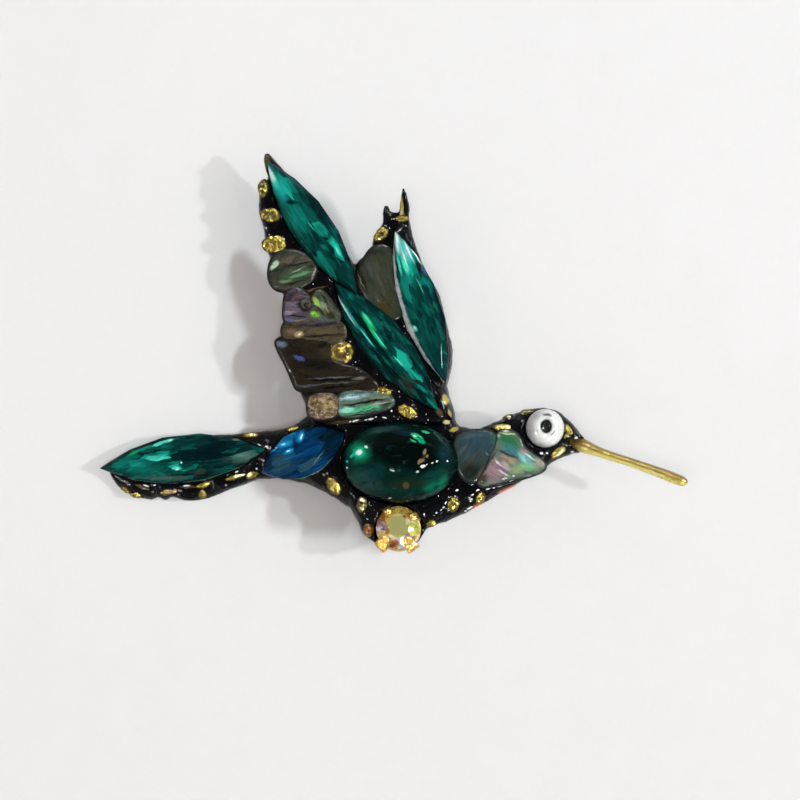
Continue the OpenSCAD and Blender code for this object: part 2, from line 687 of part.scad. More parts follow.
// The round stone in its cup leans about the X axis.
CUP_SINK = 1.7;
CLAW_T = 0.4;
cup_floor = face_height(BODY_FORM, ROUND_PLACE[1], ROUND_PLACE[2]) - CUP_SINK;
cup_r = round_stone_d / 2 + clearance + cup_wall;
claw_r = cup_r + CLAW_T / 2;
module at_round_stone() {
    p = middle(ROUND_PLACE);
    translate([p.x, p.y, cup_floor]) rotate([-round_lean, 0, 0]) children();
}

// Place of the white bead in the head: this share of its height stands above the face.
BEAD_SHOWS = 0.42;
bead_z = face_height(BODY_FORM, 0.9, 0.8) + (BEAD_SHOWS - 0.5) * bead_height;
BEAD_STEPS = 12;
function bead_profile(grow) =
    let (r = bead_d / 2 + grow, h = bead_height / 2 + grow)
    [for (i = [0:BEAD_STEPS]) let (a = -90 + 180 * i / BEAD_STEPS) [r * cos(a), h * sin(a)]];

function beak_ring(row, grow) =
    let (
        w = beak_thickness * row[2] / 2 + grow,
        h = beak_thickness * row[3] / 2 + grow,
        c = BEAK_START + [row[0], row[1]] * beak_length
    )
    [for (i = [0:BEAK_SIDES - 1]) let (a = 360 * i / BEAK_SIDES)
        [
            c.x - w * cos(a) * sin(BEAK_DROP),
            c.y + w * cos(a) * cos(BEAK_DROP),
            BEAK_Z + h * sin(a)
        ]];

// The root continues the beak straight into the head.
function root_ring(back, grow) =
    let (shift = -direction(BEAK_DROP) * back)
    [for (p = beak_ring(BEAK[0], grow)) [p.x + shift.x, p.y + shift.y, p.z]];

module beak_solid(grow) {
    loft(concat(
        [root_ring(beak_root + grow, grow)],
        [for (row = BEAK) beak_ring(row, grow)]
    ));
}

// The black body, its wings, lobes and spikes are one moulded piece, with a seat for each thing
// that is set into it.
module bird_base() {
    rest_pose()
        color([0.03, 0.03, 0.035])
            difference() {
                union() {
                    form_solid(ON_BODY);
                    form_solid(ON_NEAR);
                    form_solid(ON_FAR);
                    for (row = LOBES)
                        let (p = spot(row[0], row[1], row[2]))
                            at_place(p, row[5] - LOBE_SWELL, row[6]) lobe(row[3], row[4], 0);
                    for (row = SPIKES) spike(row);
                }
                base_seats();
            }
}

module base_seats() {
    at_place(middle(TAIL_PLACE), tail_girdle, TAIL_PLACE[3]) long_seat(tail_stone_length, tail_stone_width);
    at_place(middle(UPPER_PLACE), near_girdle, UPPER_PLACE[3]) long_seat(upper_stone_length, upper_stone_width);
    at_place(lower_middle, near_girdle, LOWER_TURN) long_seat(lower_stone_length, lower_stone_width);
    at_place(middle(FAR_PLACE), far_girdle, FAR_PLACE[3])
        rotate([FAR_LEAN, 0, 0]) long_seat(far_stone_length, far_stone_width);
    at_place(middle(BLUE_PLACE), blue_girdle, BLUE_PLACE[3]) long_seat(blue_stone_length, blue_stone_width);
    at_place(middle(OVAL_PLACE), oval_floor - clearance, OVAL_PLACE[3])
        loft([
            oval_ring(1, clearance, 0),
            oval_ring(1, clearance, oval_sink + HEADROOM)
        ]);
    at_round_stone()
        translate([0, 0, -clearance])
            cylinder(r = claw_r + clearance, h = cup_height + HEADROOM, $fn = 48);
    at_place(middle(BEAD_PLACE), bead_z, 0) rotate_extrude($fn = 28) polygon(bead_profile(clearance));
    for (row = SHELLS) shell_seat(row[0], row[1], row[2]);
    for (row = DABS) at_dab(row) dab_seat(row);
    beak_solid(clearance);
}

module tail_stone() {
    rest_pose()
        color([0, 0.35, 0.28])
            at_place(middle(TAIL_PLACE), tail_girdle, TAIL_PLACE[3])
                long_stone(tail_stone_length, tail_stone_width);
}

module near_wing_outer_stone() {
    rest_pose()
        color([0, 0.42, 0.36])
            at_place(middle(UPPER_PLACE), near_girdle, UPPER_PLACE[3])
                long_stone(upper_stone_length, upper_stone_width);
}

module near_wing_inner_stone() {
    rest_pose()
        color([0, 0.38, 0.32])
            at_place(lower_middle, near_girdle, LOWER_TURN) long_stone(lower_stone_length, lower_stone_width);
}

module far_wing_stone() {
    rest_pose()
        color([0, 0.44, 0.4])
            at_place(middle(FAR_PLACE), far_girdle, FAR_PLACE[3])
                rotate([FAR_LEAN, 0, 0]) long_stone(far_stone_length, far_stone_width);
}

module blue_stone() {
    rest_pose()
        color([0.05, 0.25, 0.6])
            at_place(middle(BLUE_PLACE), blue_girdle, BLUE_PLACE[3])
                long_stone(blue_stone_length, blue_stone_width);
}

// A ring of the oval stone: a share of its plan, grown by a distance.
OVAL_SIDES = 36;
function oval_ring(share, grow, z) =
    [for (i = [0:OVAL_SIDES - 1]) let (a = 360 * i / OVAL_SIDES)
        [(oval_length / 2 * share + grow) * cos(a), (oval_width / 2 * share + grow) * sin(a), z]];
OVAL_WALL = 0.24;
OVAL_STEPS = 6;
module oval_stone() {
    wall = OVAL_WALL * oval_height;
    dome = oval_height - wall;
    rest_pose()
        color([0, 0.3, 0.24])
            at_place(middle(OVAL_PLACE), oval_floor, OVAL_PLACE[3])
                loft(concat(
                    [oval_ring(1, 0, 0)],
                    [for (i = [0:OVAL_STEPS]) let (a = 84 * i / OVAL_STEPS)
                        oval_ring(cos(a), 0, wall + dome * sin(a))]
                ));
}

// The round stone has an eight-sided table and sixteen facets round it.
ROUND_SIDES = 16;
function round_ring(r, z) =
    [for (i = [0:ROUND_SIDES - 1]) let (a = 360 * i / ROUND_SIDES) [r * cos(a), r * sin(a), z]];
TABLE_FLAT = 0.95;
function table_ring(r, z) =
    [for (i = [0:ROUND_SIDES - 1]) let (a = 360 * i / ROUND_SIDES, q = i % 2 == 0 ? r : r * TABLE_FLAT)
        [q * cos(a), q * sin(a), z]];
ROUND_BACK = 1.3;
ROUND_CROWN = 1.25;
TABLE_R = 0.53;
CULET_R = 0.3;
CUP_FLOOR = 0.45;
round_girdle = cup_height - girdle;
module round_stone() {
    r = round_stone_d / 2;
    rest_pose()
        color([0.75, 0.75, 0.2])
            at_round_stone()
                translate([0, 0, round_girdle])
                    loft([
                        table_ring(r * CULET_R, -ROUND_BACK),
                        round_ring(r, 0),
                        round_ring(r, girdle),
                        table_ring(r * TABLE_R, girdle + ROUND_CROWN)
                    ]);
}

// A claw is sunk into the cup's wall below the girdle, shouldered over it and bent in towards the
// table, just clear of the crown.
CLAWS = 4;
CLAW_W = 1.1;
CLAW_REACH = 0.95;
CLAW_TURN = 42;
CLAW_DOWN = 0.8;
CLAW_INTO = 0.1;
CLAW_CLEAR = 0.08;
CLAW_SHOULDER = [0.25, 0.62];
CUP_CHAMFER = 0.3;
module round_stone_cup() {
    r = round_stone_d / 2 + clearance;
    rise = ROUND_CROWN / (1 - TABLE_R) / (round_stone_d / 2) * CLAW_REACH + CLAW_CLEAR;
    rest_pose()
        color([0.85, 0.65, 0.25])
            at_round_stone() {
                rotate_extrude($fn = 48)
                    polygon([
                        [0, 0], [cup_r - CUP_CHAMFER, 0], [cup_r, CUP_CHAMFER], [cup_r, cup_height],
                        [r, cup_height], [r, round_girdle - clearance],
                        [r * CULET_R + clearance, CUP_FLOOR], [0, CUP_FLOOR]
                    ]);
                for (i = [0:CLAWS - 1])
                    rotate([90, 0, CLAW_TURN + 360 * i / CLAWS])
                        translate([0, 0, -CLAW_W / 2])
                            linear_extrude(CLAW_W)
                                polygon([
                                    [r + CLAW_INTO, cup_height - CLAW_DOWN],
                                    [claw_r, cup_height - CLAW_DOWN],
                                    [claw_r, cup_height + CLAW_SHOULDER[0]],
                                    [r - CLAW_INTO, cup_height + CLAW_SHOULDER[1]],
                                    [r - CLAW_REACH, cup_height + rise + CLAW_T],
                                    [r - CLAW_REACH, cup_height + rise],
                                    [r + CLAW_INTO, cup_height + CLAW_CLEAR]
                                ]);
            }
}

module eye_bead() {
    profile = bead_profile(0);
    rest_pose()
        color([0.92, 0.92, 0.9])
            at_place(middle(BEAD_PLACE), bead_z, 0)
                difference() {
                    rotate_extrude($fn = 28) polygon(profile);
                    translate([0, 0, -bead_height]) cylinder(d = bead_hole, h = 2 * bead_height, $fn = 24);
                }
}

// The dark filling of the bead's hole stops short of its rim.
PUPIL_SHORT = 0.35;
module eye_pupil() {
    h = bead_height - 2 * PUPIL_SHORT;
    rest_pose()
        color([0.02, 0.02, 0.02])
            at_place(middle(BEAD_PLACE), bead_z - h / 2, 0)
                cylinder(d = bead_hole - 2 * clearance, h = h, $fn = 24);
}

module beak() {
    rest_pose() color([0.82, 0.62, 0.2]) beak_solid(0);
}

module shell_node(i, tint) {
    rest_pose() color(tint) shell_piece(SHELLS[i][0], SHELLS[i][1], SHELLS[i][2]);
}

module gold_dabs() {
    rest_pose() color([0.85, 0.68, 0.25]) for (row = DABS) at_dab(row) dab(row);
}

// The pin behind the bird is one plain piece: bar, end blocks and stem.
STEM_DROP = 0.4;
module pin_back() {
    block_h = pin_height - clearance;
    stem_z = -(pin_plate + pin_height) / 2 - STEM_DROP;
    end_y = PIN_TOP_Y - pin_length;
    rest_pose()
        color([0.75, 0.72, 0.66])
            union() {
                translate([PIN_X - pin_width / 2, end_y, -clearance - pin_plate])
                    cube([pin_width, pin_length, pin_plate]);
                for (y = [end_y, PIN_TOP_Y - pin_block])
                    translate([PIN_X - pin_width / 2, y, -pin_height])
                        cube([pin_width, pin_block, block_h]);
                translate([PIN_X, end_y + pin_block / 2, stem_z])
                    rotate([-90, 0, 0])
                        cylinder(d = stem_d, h = pin_length - pin_block, $fn = 24);
            }
}

bird_base();
tail_stone();
near_wing_outer_stone();
near_wing_inner_stone();
far_wing_stone();
blue_stone();
oval_stone();
round_stone();
round_stone_cup();
eye_bead();
eye_pupil();
beak();
shell_node(0, [0.35, 0.45, 0.32]);  // shell_wing_oval
shell_node(1, [0.4, 0.36, 0.5]);  // shell_wing_purple
shell_node(2, [0.5, 0.75, 0.3]);  // shell_wing_lime
shell_node(3, [0.35, 0.33, 0.24]);  // shell_wing_strip
shell_node(4, [0.17, 0.16, 0.16]);  // shell_wing_large
shell_node(5, [0.5, 0.42, 0.28]);  // shell_wing_rough
shell_node(6, [0.35, 0.7, 0.5]);  // shell_wing_striped
shell_node(7, [0.28, 0.28, 0.2]);  // shell_far_wing
shell_node(8, [0.2, 0.28, 0.34]);  // shell_neck_dark
shell_node(9, [0.5, 0.7, 0.6]);  // shell_neck_bright
gold_dabs();
pin_back();
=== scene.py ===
"""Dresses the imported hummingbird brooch: black resin, foiled stones, sea shell, gold and a glazed bead.

Places are read in the plan of the whole bird, in millimetres, before it leans back on its pin.
"""
import json
import math

import bmesh
import bpy
import numpy as np
from bpy.props import FloatProperty, FloatVectorProperty, IntProperty, PointerProperty
from mathutils import Matrix, Vector, noise

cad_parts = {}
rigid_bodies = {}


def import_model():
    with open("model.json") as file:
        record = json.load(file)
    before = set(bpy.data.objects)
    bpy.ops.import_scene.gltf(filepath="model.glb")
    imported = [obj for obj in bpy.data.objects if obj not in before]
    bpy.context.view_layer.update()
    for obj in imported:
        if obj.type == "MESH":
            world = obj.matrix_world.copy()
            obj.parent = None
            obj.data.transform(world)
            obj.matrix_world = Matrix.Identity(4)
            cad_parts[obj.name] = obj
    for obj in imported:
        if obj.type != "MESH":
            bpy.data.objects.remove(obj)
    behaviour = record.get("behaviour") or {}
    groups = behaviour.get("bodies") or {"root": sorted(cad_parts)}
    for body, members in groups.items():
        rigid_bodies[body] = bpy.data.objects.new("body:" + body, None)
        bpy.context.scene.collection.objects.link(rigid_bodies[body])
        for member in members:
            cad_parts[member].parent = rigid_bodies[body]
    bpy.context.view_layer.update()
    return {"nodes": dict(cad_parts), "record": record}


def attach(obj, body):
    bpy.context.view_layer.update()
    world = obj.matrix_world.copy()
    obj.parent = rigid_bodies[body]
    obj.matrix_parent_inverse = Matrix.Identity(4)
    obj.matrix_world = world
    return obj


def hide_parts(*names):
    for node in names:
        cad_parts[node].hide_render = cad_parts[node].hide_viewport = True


bl_info = {
    "name": "Hummingbird brooch",
    "version": (1, 0, 0),
    "blender": (4, 5, 0),
    "location": "3D View > Sidebar > Brooch",
    "description": "Dresses the packed solids of a hummingbird brooch",
    "category": "Object",
}

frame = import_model()

MM = 0.001
# The bird leans back on its pin, about the Y axis; the pin's own axis gives the lean.
PIN_AXIS = frame["record"]["mounts"][0]["axis"]
LEAN = math.atan2(PIN_AXIS[0], -PIN_AXIS[2])
REST_SHIFT = Vector((0.07, -0.03, 5.22)) * MM
TO_ROW = Matrix.Translation(REST_SHIFT) @ Matrix.Rotation(-LEAN, 4, "Y") @ Matrix.Scale(MM, 4)
TO_PLAN = TO_ROW.inverted()
ROW_ARRAY = np.array(TO_ROW)
PLAN_ARRAY = np.array(TO_PLAN)


def in_row(points):
    """Points of the plan, in millimetres, as places in the row frame."""
    points = np.asarray(points, float)
    return points @ ROW_ARRAY[:3, :3].T + ROW_ARRAY[:3, 3]


def in_plan(points):
    """Places in the row frame as points of the plan, in millimetres."""
    points = np.asarray(points, float)
    return points @ PLAN_ARRAY[:3, :3].T + PLAN_ARRAY[:3, 3]


def coordinates(mesh):
    places = np.empty(len(mesh.vertices) * 3, np.float32)
    mesh.vertices.foreach_get("co", places)
    return places.reshape(-1, 3).astype(float)


def normals(mesh):
    directions = np.empty(len(mesh.vertices) * 3, np.float32)
    mesh.vertex_normals.foreach_get("vector", directions)
    return directions.reshape(-1, 3).astype(float)


def set_coordinates(mesh, places):
    mesh.vertices.foreach_set("co", np.asarray(places, np.float32).ravel())
    mesh.update()


def keep(mesh, name, values):
    """Keeps a value on each point of a mesh, for its finish or its growth to read."""
    mesh.attributes.new(name, "FLOAT", "POINT").data.foreach_set("value", np.asarray(values, np.float32))


def push_out(piece, lift):
    """Moves each point of a piece along its normal, by its lift in metres."""
    mesh = piece.data
    set_coordinates(mesh, coordinates(mesh) + normals(mesh) * np.asarray(lift)[:, None])


def ramp(values, low, high):
    """A smooth step from 0 at low to 1 at high."""
    t = np.clip((values - low) / (high - low), 0.0, 1.0)
    return t * t * (3.0 - 2.0 * t)


def ellipse_reach(points, centre, half, turn):
    """Distance from an ellipse's centre in the plan, as shares of its half sizes."""
    a = math.radians(turn)
    offset = points[:, :2] - np.array(centre)
    along = offset[:, 0] * math.cos(a) + offset[:, 1] * math.sin(a)
    across = -offset[:, 0] * math.sin(a) + offset[:, 1] * math.cos(a)
    return np.hypot(along / half[0], across / half[1])


def rough(points, size, seed, depth=3):
    """Fractal noise between about -1 and 1 at points in millimetres, with lumps of a size."""
    offset = Vector((seed * 17.3, seed * 5.1, seed * 9.7))
    return np.array([noise.fractal(Vector(p) / size + offset, 0.9, 2.1, depth) for p in points])


def seen(red, green, blue):
    """A colour given as it looks on a screen, from 0 to 255."""
    return tuple((c / 255.0) ** 2.2 for c in (red, green, blue))


def new_piece(name, mesh):
    piece = bpy.data.objects.new(name, mesh)
    bpy.context.scene.collection.objects.link(piece)
    return piece


def from_faces(name, points, faces):
    """A closed mesh piece from points of the plan and faces, with its normals set outwards."""
    mesh = bpy.data.meshes.new(name)
    mesh.from_pydata([tuple(p) for p in in_row(points)], [], faces)
    mesh.validate()
    recalculate(mesh)
    return new_piece(name, mesh)


def recalculate(mesh):
    shape = bmesh.new()
    shape.from_mesh(mesh)
    bmesh.ops.remove_doubles(shape, verts=shape.verts, dist=1e-7)
    bmesh.ops.recalc_face_normals(shape, faces=shape.faces)
    shape.to_mesh(mesh)
    shape.free()
    mesh.update()


def merged_copy(node, name):
    """A copy of a node's mesh with its loose triangles joined."""
    mesh = frame["nodes"][node].data.copy()
    mesh.name = name
    mesh.materials.clear()
    shape = bmesh.new()
    shape.from_mesh(mesh)
    bmesh.ops.remove_doubles(shape, verts=shape.verts, dist=2e-6)
    shape.to_mesh(mesh)
    shape.free()
    return new_piece(name, mesh)


def modified(piece, kind, **settings):
    """Gives a piece a modifier, makes the result its mesh and takes the modifier off again."""
    modifier = piece.modifiers.new(kind.title(), kind)
    for key, value in settings.items():
        setattr(modifier, key, value)
    return made_plain(piece)


def worn(piece, width, angle, segments=1):
    """Rounds off the edges that turn by more than an angle."""
    return modified(piece, "BEVEL", width=width, segments=segments, limit_method="ANGLE",
                    angle_limit=math.radians(angle))


def softened(piece, grain, rounds):
    """Makes a piece one skin of a grain, and smooths it by some rounds."""
    modified(piece, "REMESH", mode="VOXEL", voxel_size=grain, use_smooth_shade=True)
    modified(piece, "SMOOTH", factor=0.5, iterations=rounds)


def made_plain(piece):
    graph = bpy.context.evaluated_depsgraph_get()
    mesh = bpy.data.meshes.new_from_object(piece.evaluated_get(graph), depsgraph=graph)
    old = piece.data
    piece.modifiers.clear()
    piece.data = mesh
    mesh.name = piece.name
    if old.users == 0:
        bpy.data.meshes.remove(old)
    return piece


def shade(piece, smooth):
    piece.data.polygons.foreach_set("use_smooth", [smooth] * len(piece.data.polygons))
    piece.data.update()


def finished(piece, finish, slot_name, *nodes):
    """Gives a piece its material and its body, and hides the nodes that it stands for; slot_name is not
    used.
    """
    piece.data.materials.clear()
    piece.data.materials.append(finish)
    piece.data.polygons.foreach_set("material_index", [0] * len(piece.data.polygons))
    if nodes:
        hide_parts(*nodes)
    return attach(piece, "root")


class Reading:
    """A socket in a tree of nodes; arithmetic on it adds Math nodes."""

    def __init__(self, sheet, socket):
        self.sheet = sheet
        self.socket = socket

    def math(self, operation, *others, swap=False):
        values = [self, *others]
        if swap:
            values.reverse()
        return self.sheet.add("ShaderNodeMath", {"operation": operation}, dict(enumerate(values)))

    def beside(self, name):
        """Another output of the same node."""
        return Reading(self.sheet, self.socket.node.outputs[name])

    def __add__(self, other):
        return self.math("ADD", other)

    def __sub__(self, other):
        return self.math("SUBTRACT", other)

    def __mul__(self, other):
        return self.math("MULTIPLY", other)

    def __rtruediv__(self, other):
        return self.math("DIVIDE", other, swap=True)

    __radd__ = __add__
    __rmul__ = __mul__


class Sheet:
    """A tree of nodes; one method adds a node with its settings and inputs."""

    def __init__(self, tree):
        self.nodes = tree.nodes
        self.links = tree.links

    def add(self, kind, settings=None, inputs=None, output=0):
        """Adds a node with its settings first and then its inputs, and reads one output."""
        node = self.nodes.new(kind)
        for key, value in (settings or {}).items():
            setattr(node, key, value)
        for key, value in (inputs or {}).items():
            self.feed(node.inputs[key], value)
        return Reading(self, node.outputs[output])

    def feed(self, socket, value):
        if isinstance(value, Reading):
            self.links.new(value.socket, socket)
        elif isinstance(value, (tuple, list)) and len(value) == 3 and socket.type == "RGBA":
            socket.default_value = (*value, 1.0)
        else:
            socket.default_value = value

    def vectors(self, operation, first, second, output=0):
        return self.add("ShaderNodeVectorMath", {"operation": operation}, {0: first, 1: second}, output)

    def step(self, value, low, high, strength=1.0):
        """A smooth step from 0 at low to the strength at high."""
        return self.add("ShaderNodeMapRange", {"interpolation_type": "SMOOTHSTEP"}, {
            "Value": value, "From Min": low, "From Max": high, "To Min": 0.0, "To Max": strength})

    def scaled(self, vector, factors):
        return self.vectors("MULTIPLY", vector, factors)

    def shaken(self, vector, size, amount, flat=True):
        """Coordinates shaken by noise of a size, by up to about an amount."""
        shake = self.add("ShaderNodeTexNoise", None, {"Vector": vector, "Scale": 1.0 / size, "Detail": 3.0},
                         "Color")
        centred = self.vectors("SUBTRACT", shake, (0.5, 0.5, 0.5))
        reach = (2.0 * amount, 2.0 * amount, 0.0 if flat else 2.0 * amount)
        return self.add("ShaderNodeVectorMath", {"operation": "MULTIPLY_ADD"},
                        {0: centred, 1: reach, 2: vector})


class Growth(Sheet):
    """A tree that makes a shape, with named inputs for its sizes."""

    def __init__(self, name, sizes):
        tree = bpy.data.node_groups.new(name, "GeometryNodeTree")
        super().__init__(tree)
        self.tree = tree
        tree.interface.new_socket("Geometry", in_out="INPUT", socket_type="NodeSocketGeometry")
        tree.interface.new_socket("Geometry", in_out="OUTPUT", socket_type="NodeSocketGeometry")
        for key in sizes:
            tree.interface.new_socket(key, in_out="INPUT", socket_type="NodeSocketFloat")
        self.sizes = sizes
        self.given = self.nodes.new("NodeGroupInput")
        self.base = Reading(self, self.given.outputs["Geometry"])

    def size(self, name):
        return Reading(self, self.given.outputs[name])

    def read(self, name, kind="FLOAT"):
        """What the points carry under a name."""
        return self.add("GeometryNodeInputNamedAttribute", {"data_type": kind}, {"Name": name})

    def note(self, shape, name, value):
        """Has a shape's points carry a value."""
        return self.add("GeometryNodeStoreNamedAttribute", {"data_type": "FLOAT"},
                        {0: shape, "Name": name, "Value": value})

    def pushed(self, shape, amount):
        """Moves a shape's surface out along its normals."""
        push = self.add("ShaderNodeVectorMath", {"operation": "SCALE"},
                        {0: self.add("GeometryNodeInputNormal"), "Scale": amount})
        return self.add("GeometryNodeSetPosition", None, {0: shape, "Offset": push})

    def grown(self, piece, shape, finish):
        """Ends the tree, runs it on a piece and leaves a plain mesh."""
        real = self.add("GeometryNodeRealizeInstances", None, {0: shape})
        dressed = self.add("GeometryNodeSetMaterial", None, {0: real, "Material": finish})
        self.links.new(dressed.socket, self.nodes.new("NodeGroupOutput").inputs[0])
        modifier = piece.modifiers.new(self.tree.name, "NODES")
        modifier.node_group = self.tree
        for item in self.tree.interface.items_tree:
            if item.in_out == "INPUT" and item.name in self.sizes:
                modifier[item.identifier] = self.sizes[item.name]
        return made_plain(piece)


class Finish(Sheet):
    """A material under construction: one shader, its coordinates and the nodes that paint it."""

    def __init__(self, name, **constants):
        self.material = bpy.data.materials.new(name)
        self.material.use_nodes = True
        super().__init__(self.material.node_tree)
        self.nodes.clear()
        self.shader = self.nodes.new("ShaderNodeBsdfPrincipled")
        output = self.nodes.new("ShaderNodeOutputMaterial")
        self.links.new(self.shader.outputs["BSDF"], output.inputs["Surface"])
        for key, value in constants.items():
            self.shader.inputs[key.replace("_", " ").title().replace("Ior", "IOR")].default_value = value

    def set(self, **inputs):
        names = {"color": "Base Color", "roughness": "Roughness", "metallic": "Metallic", "normal": "Normal",
                 "coat": "Coat Weight"}
        for key, value in inputs.items():
            self.feed(self.shader.inputs[names[key]], value)
        return self.material

    def kept(self, name):
        """A value that is kept on the piece's points."""
        return self.add("ShaderNodeAttribute", {"attribute_name": name}, output="Fac")

    def plan(self, flat=True):
        """The plan's coordinates in millimetres; flat leaves the height out."""
        place = self.add("ShaderNodeTexCoord", output="Object")
        turned = self.add("ShaderNodeMapping", {"vector_type": "TEXTURE"}, {
            "Vector": place, "Location": REST_SHIFT, "Rotation": (0.0, -LEAN, 0.0), "Scale": (MM, MM, MM)})
        return self.scaled(turned, (1.0, 1.0, 0.0)) if flat else turned

    def turned(self, vector, turn, stretch):
        """Coordinates turned against an angle and divided by the stretch along and across it."""
        return self.add("ShaderNodeMapping", {"vector_type": "TEXTURE"}, {
            "Vector": vector, "Rotation": (0.0, 0.0, math.radians(turn)), "Scale": (*stretch, 1.0)})

    def noise(self, vector, size, detail=3.0, distortion=0.0, rough=0.55):
        return self.add("ShaderNodeTexNoise", None, {
            "Vector": vector, "Scale": 1.0 / size, "Detail": detail, "Roughness": rough,
            "Distortion": distortion}, "Fac")

    def shards(self, vector, turn, stretch, pull, seed=0.0):
        """Coordinates drawn towards the middles of long straight-edged cells, and a value per cell."""
        cells = self.turned(vector, turn, stretch)
        cells = self.vectors("ADD", cells, (seed, -seed, 0.0))
        grid = self.add("ShaderNodeTexVoronoi", {"voronoi_dimensions": "2D", "feature": "F1"},
                        {"Vector": cells, "Scale": 1.0, "Randomness": 0.95}, "Position")
        value = self.add("ShaderNodeSeparateColor", None, {0: grid.beside("Color")})
        middle = self.vectors("ADD", grid, (-seed, seed, 0.0))
        back = self.add("ShaderNodeMapping", {"vector_type": "POINT"}, {
            "Vector": middle, "Rotation": (0.0, 0.0, math.radians(turn)), "Scale": (*stretch, 1.0)})
        drawn = self.add("ShaderNodeMix", {"data_type": "VECTOR"}, {0: pull, 4: vector, 5: back}, 1)
        return drawn, value

    def ellipse(self, vector, centre, half, turn=0.0, soft=0.5, strength=1.0):
        """A mask that is full inside an ellipse of the plan and fades over a share of its size."""
        local = self.add("ShaderNodeMapping", {"vector_type": "TEXTURE"}, {
            "Vector": vector, "Location": (*centre, 0.0), "Rotation": (0.0, 0.0, math.radians(turn)),
            "Scale": (*half, 1.0)})
        reach = self.add("ShaderNodeVectorMath", {"operation": "LENGTH"}, {0: local}, 1)
        return self.step(reach, 1.0 + 0.5 * soft, 1.0 - soft, strength)

    def mix(self, factor, first, second, kind="MIX"):
        return self.add("ShaderNodeMix", {"data_type": "RGBA", "blend_type": kind, "clamp_factor": True},
                        {0: factor, 6: first, 7: second}, 2)

    def layered(self, ground, *layers):
        """Lays colours over a ground, each where a value passes from one level to another."""
        for value, low, high, strength, colour in layers:
            ground = self.mix(self.step(value, low, high, strength), ground, colour)
        return ground

    def painted(self, vector, ground, strokes):
        """Lays strokes, which are soft ellipses of colour, over a ground."""
        for colour, across, up, half_length, half_width, turn, soft, strength in strokes:
            mask = self.ellipse(vector, (across, up), (half_length, half_width), turn, soft, strength)
            ground = self.mix(mask, ground, colour)
        return ground

    def colours(self, value, stops):
        """A colour ramp with stops of (position, colour)."""
        node = self.nodes.new("ShaderNodeValToRGB")
        node.color_ramp.interpolation = "LINEAR"
        elements = node.color_ramp.elements
        while len(elements) < len(stops):
            elements.new(0.5)
        for element, (position, colour) in zip(elements, stops):
            element.position = position
            element.color = (*colour, 1.0)
        self.feed(node.inputs[0], value)
        return Reading(self, node.outputs[0])

    def bump(self, height, distance, strength):
        return self.add("ShaderNodeBump", None, {
            "Height": height, "Distance": distance * MM, "Strength": strength})


def length(name, description, millimetres, low, high):
    return FloatProperty(name=name, description=description, default=millimetres * MM, min=low * MM,
                         max=high * MM, precision=5, unit="LENGTH")


def tint(name, description, colour):
    return FloatVectorProperty(name=name, description=description, default=colour, size=3, min=0.0, max=1.0,
                               subtype="COLOR")


class BroochResin(bpy.types.PropertyGroup):
    """Sizes and colour of the black resin."""
    grain: length("Grain", "Finest detail of the moulded surface", 0.32, 0.25, 0.6)
    lump_height: length("Lump height", "Height of the hand-made lumps", 0.12, 0.0, 0.4)
    lump_size: length("Lump size", "Width of the hand-made lumps", 2.0, 0.5, 4.0)
    colour: tint("Colour", "Colour of the resin", (0.002, 0.002, 0.003))


class BroochStones(bpy.types.PropertyGroup):
    """Cut and colours of the stones."""
    stations: IntProperty(name="Facets", description="Facets along each side of a long stone", default=7,
                          min=4, max=12)
    worn_edge: length("Worn edge", "Width of the softened edges between facets", 0.05, 0.02, 0.12)
    emerald: tint("Emerald", "Lit foil behind the long stones", (0.006, 0.23, 0.17))
    sapphire: tint("Sapphire", "Lit foil behind the blue stone", (0.003, 0.08, 0.22))
    citron: tint("Citron", "Table of the round stone", (0.5, 0.5, 0.15))


class BroochShell(bpy.types.PropertyGroup):
    """Finish of the pieces of shell."""
    grain: length("Grain", "Finest detail of the shell", 0.16, 0.1, 0.3)
    ripple: length("Ripple", "Height of the growth ridges", 0.09, 0.0, 0.2)


class BroochGold(bpy.types.PropertyGroup):
    """Colours and crumple of the gold."""
    crumple: length("Crumple", "Depth of the creases in the gold leaf", 0.28, 0.0, 0.5)
    leaf: tint("Leaf", "Colour of the gold leaf", (0.27, 0.215, 0.035))
    metal: tint("Metal", "Colour of the beak and cup", (0.5, 0.36, 0.05))


# Foil colours seen through the green stones, painted as their reflections; ICE and MINT are mostly painted
# highlights.
NIGHT = (0.001, 0.008, 0.01)
DEEP = (0.002, 0.035, 0.033)
POOL = (0.004, 0.12, 0.095)
TEAL = (0.006, 0.27, 0.2)
SEA = (0.012, 0.48, 0.34)
MINT = (0.1, 0.82, 0.62)
ICE = (0.72, 1.0, 0.93)
GRASS = (0.012, 0.5, 0.16)
OLIVE = (0.05, 0.07, 0.03)
MIST = (0.12, 0.24, 0.19)
SILVER = (0.92, 0.92, 0.86)
LAGOON = (0.012, 0.4, 0.37)
NAVY = (0.001, 0.012, 0.035)
ROYAL = (0.002, 0.045, 0.14)
AZURE = (0.004, 0.14, 0.36)
SKY = (0.015, 0.38, 0.78)
VIOLET = (0.12, 0.1, 0.3)
STEEL = (0.022, 0.07, 0.1)
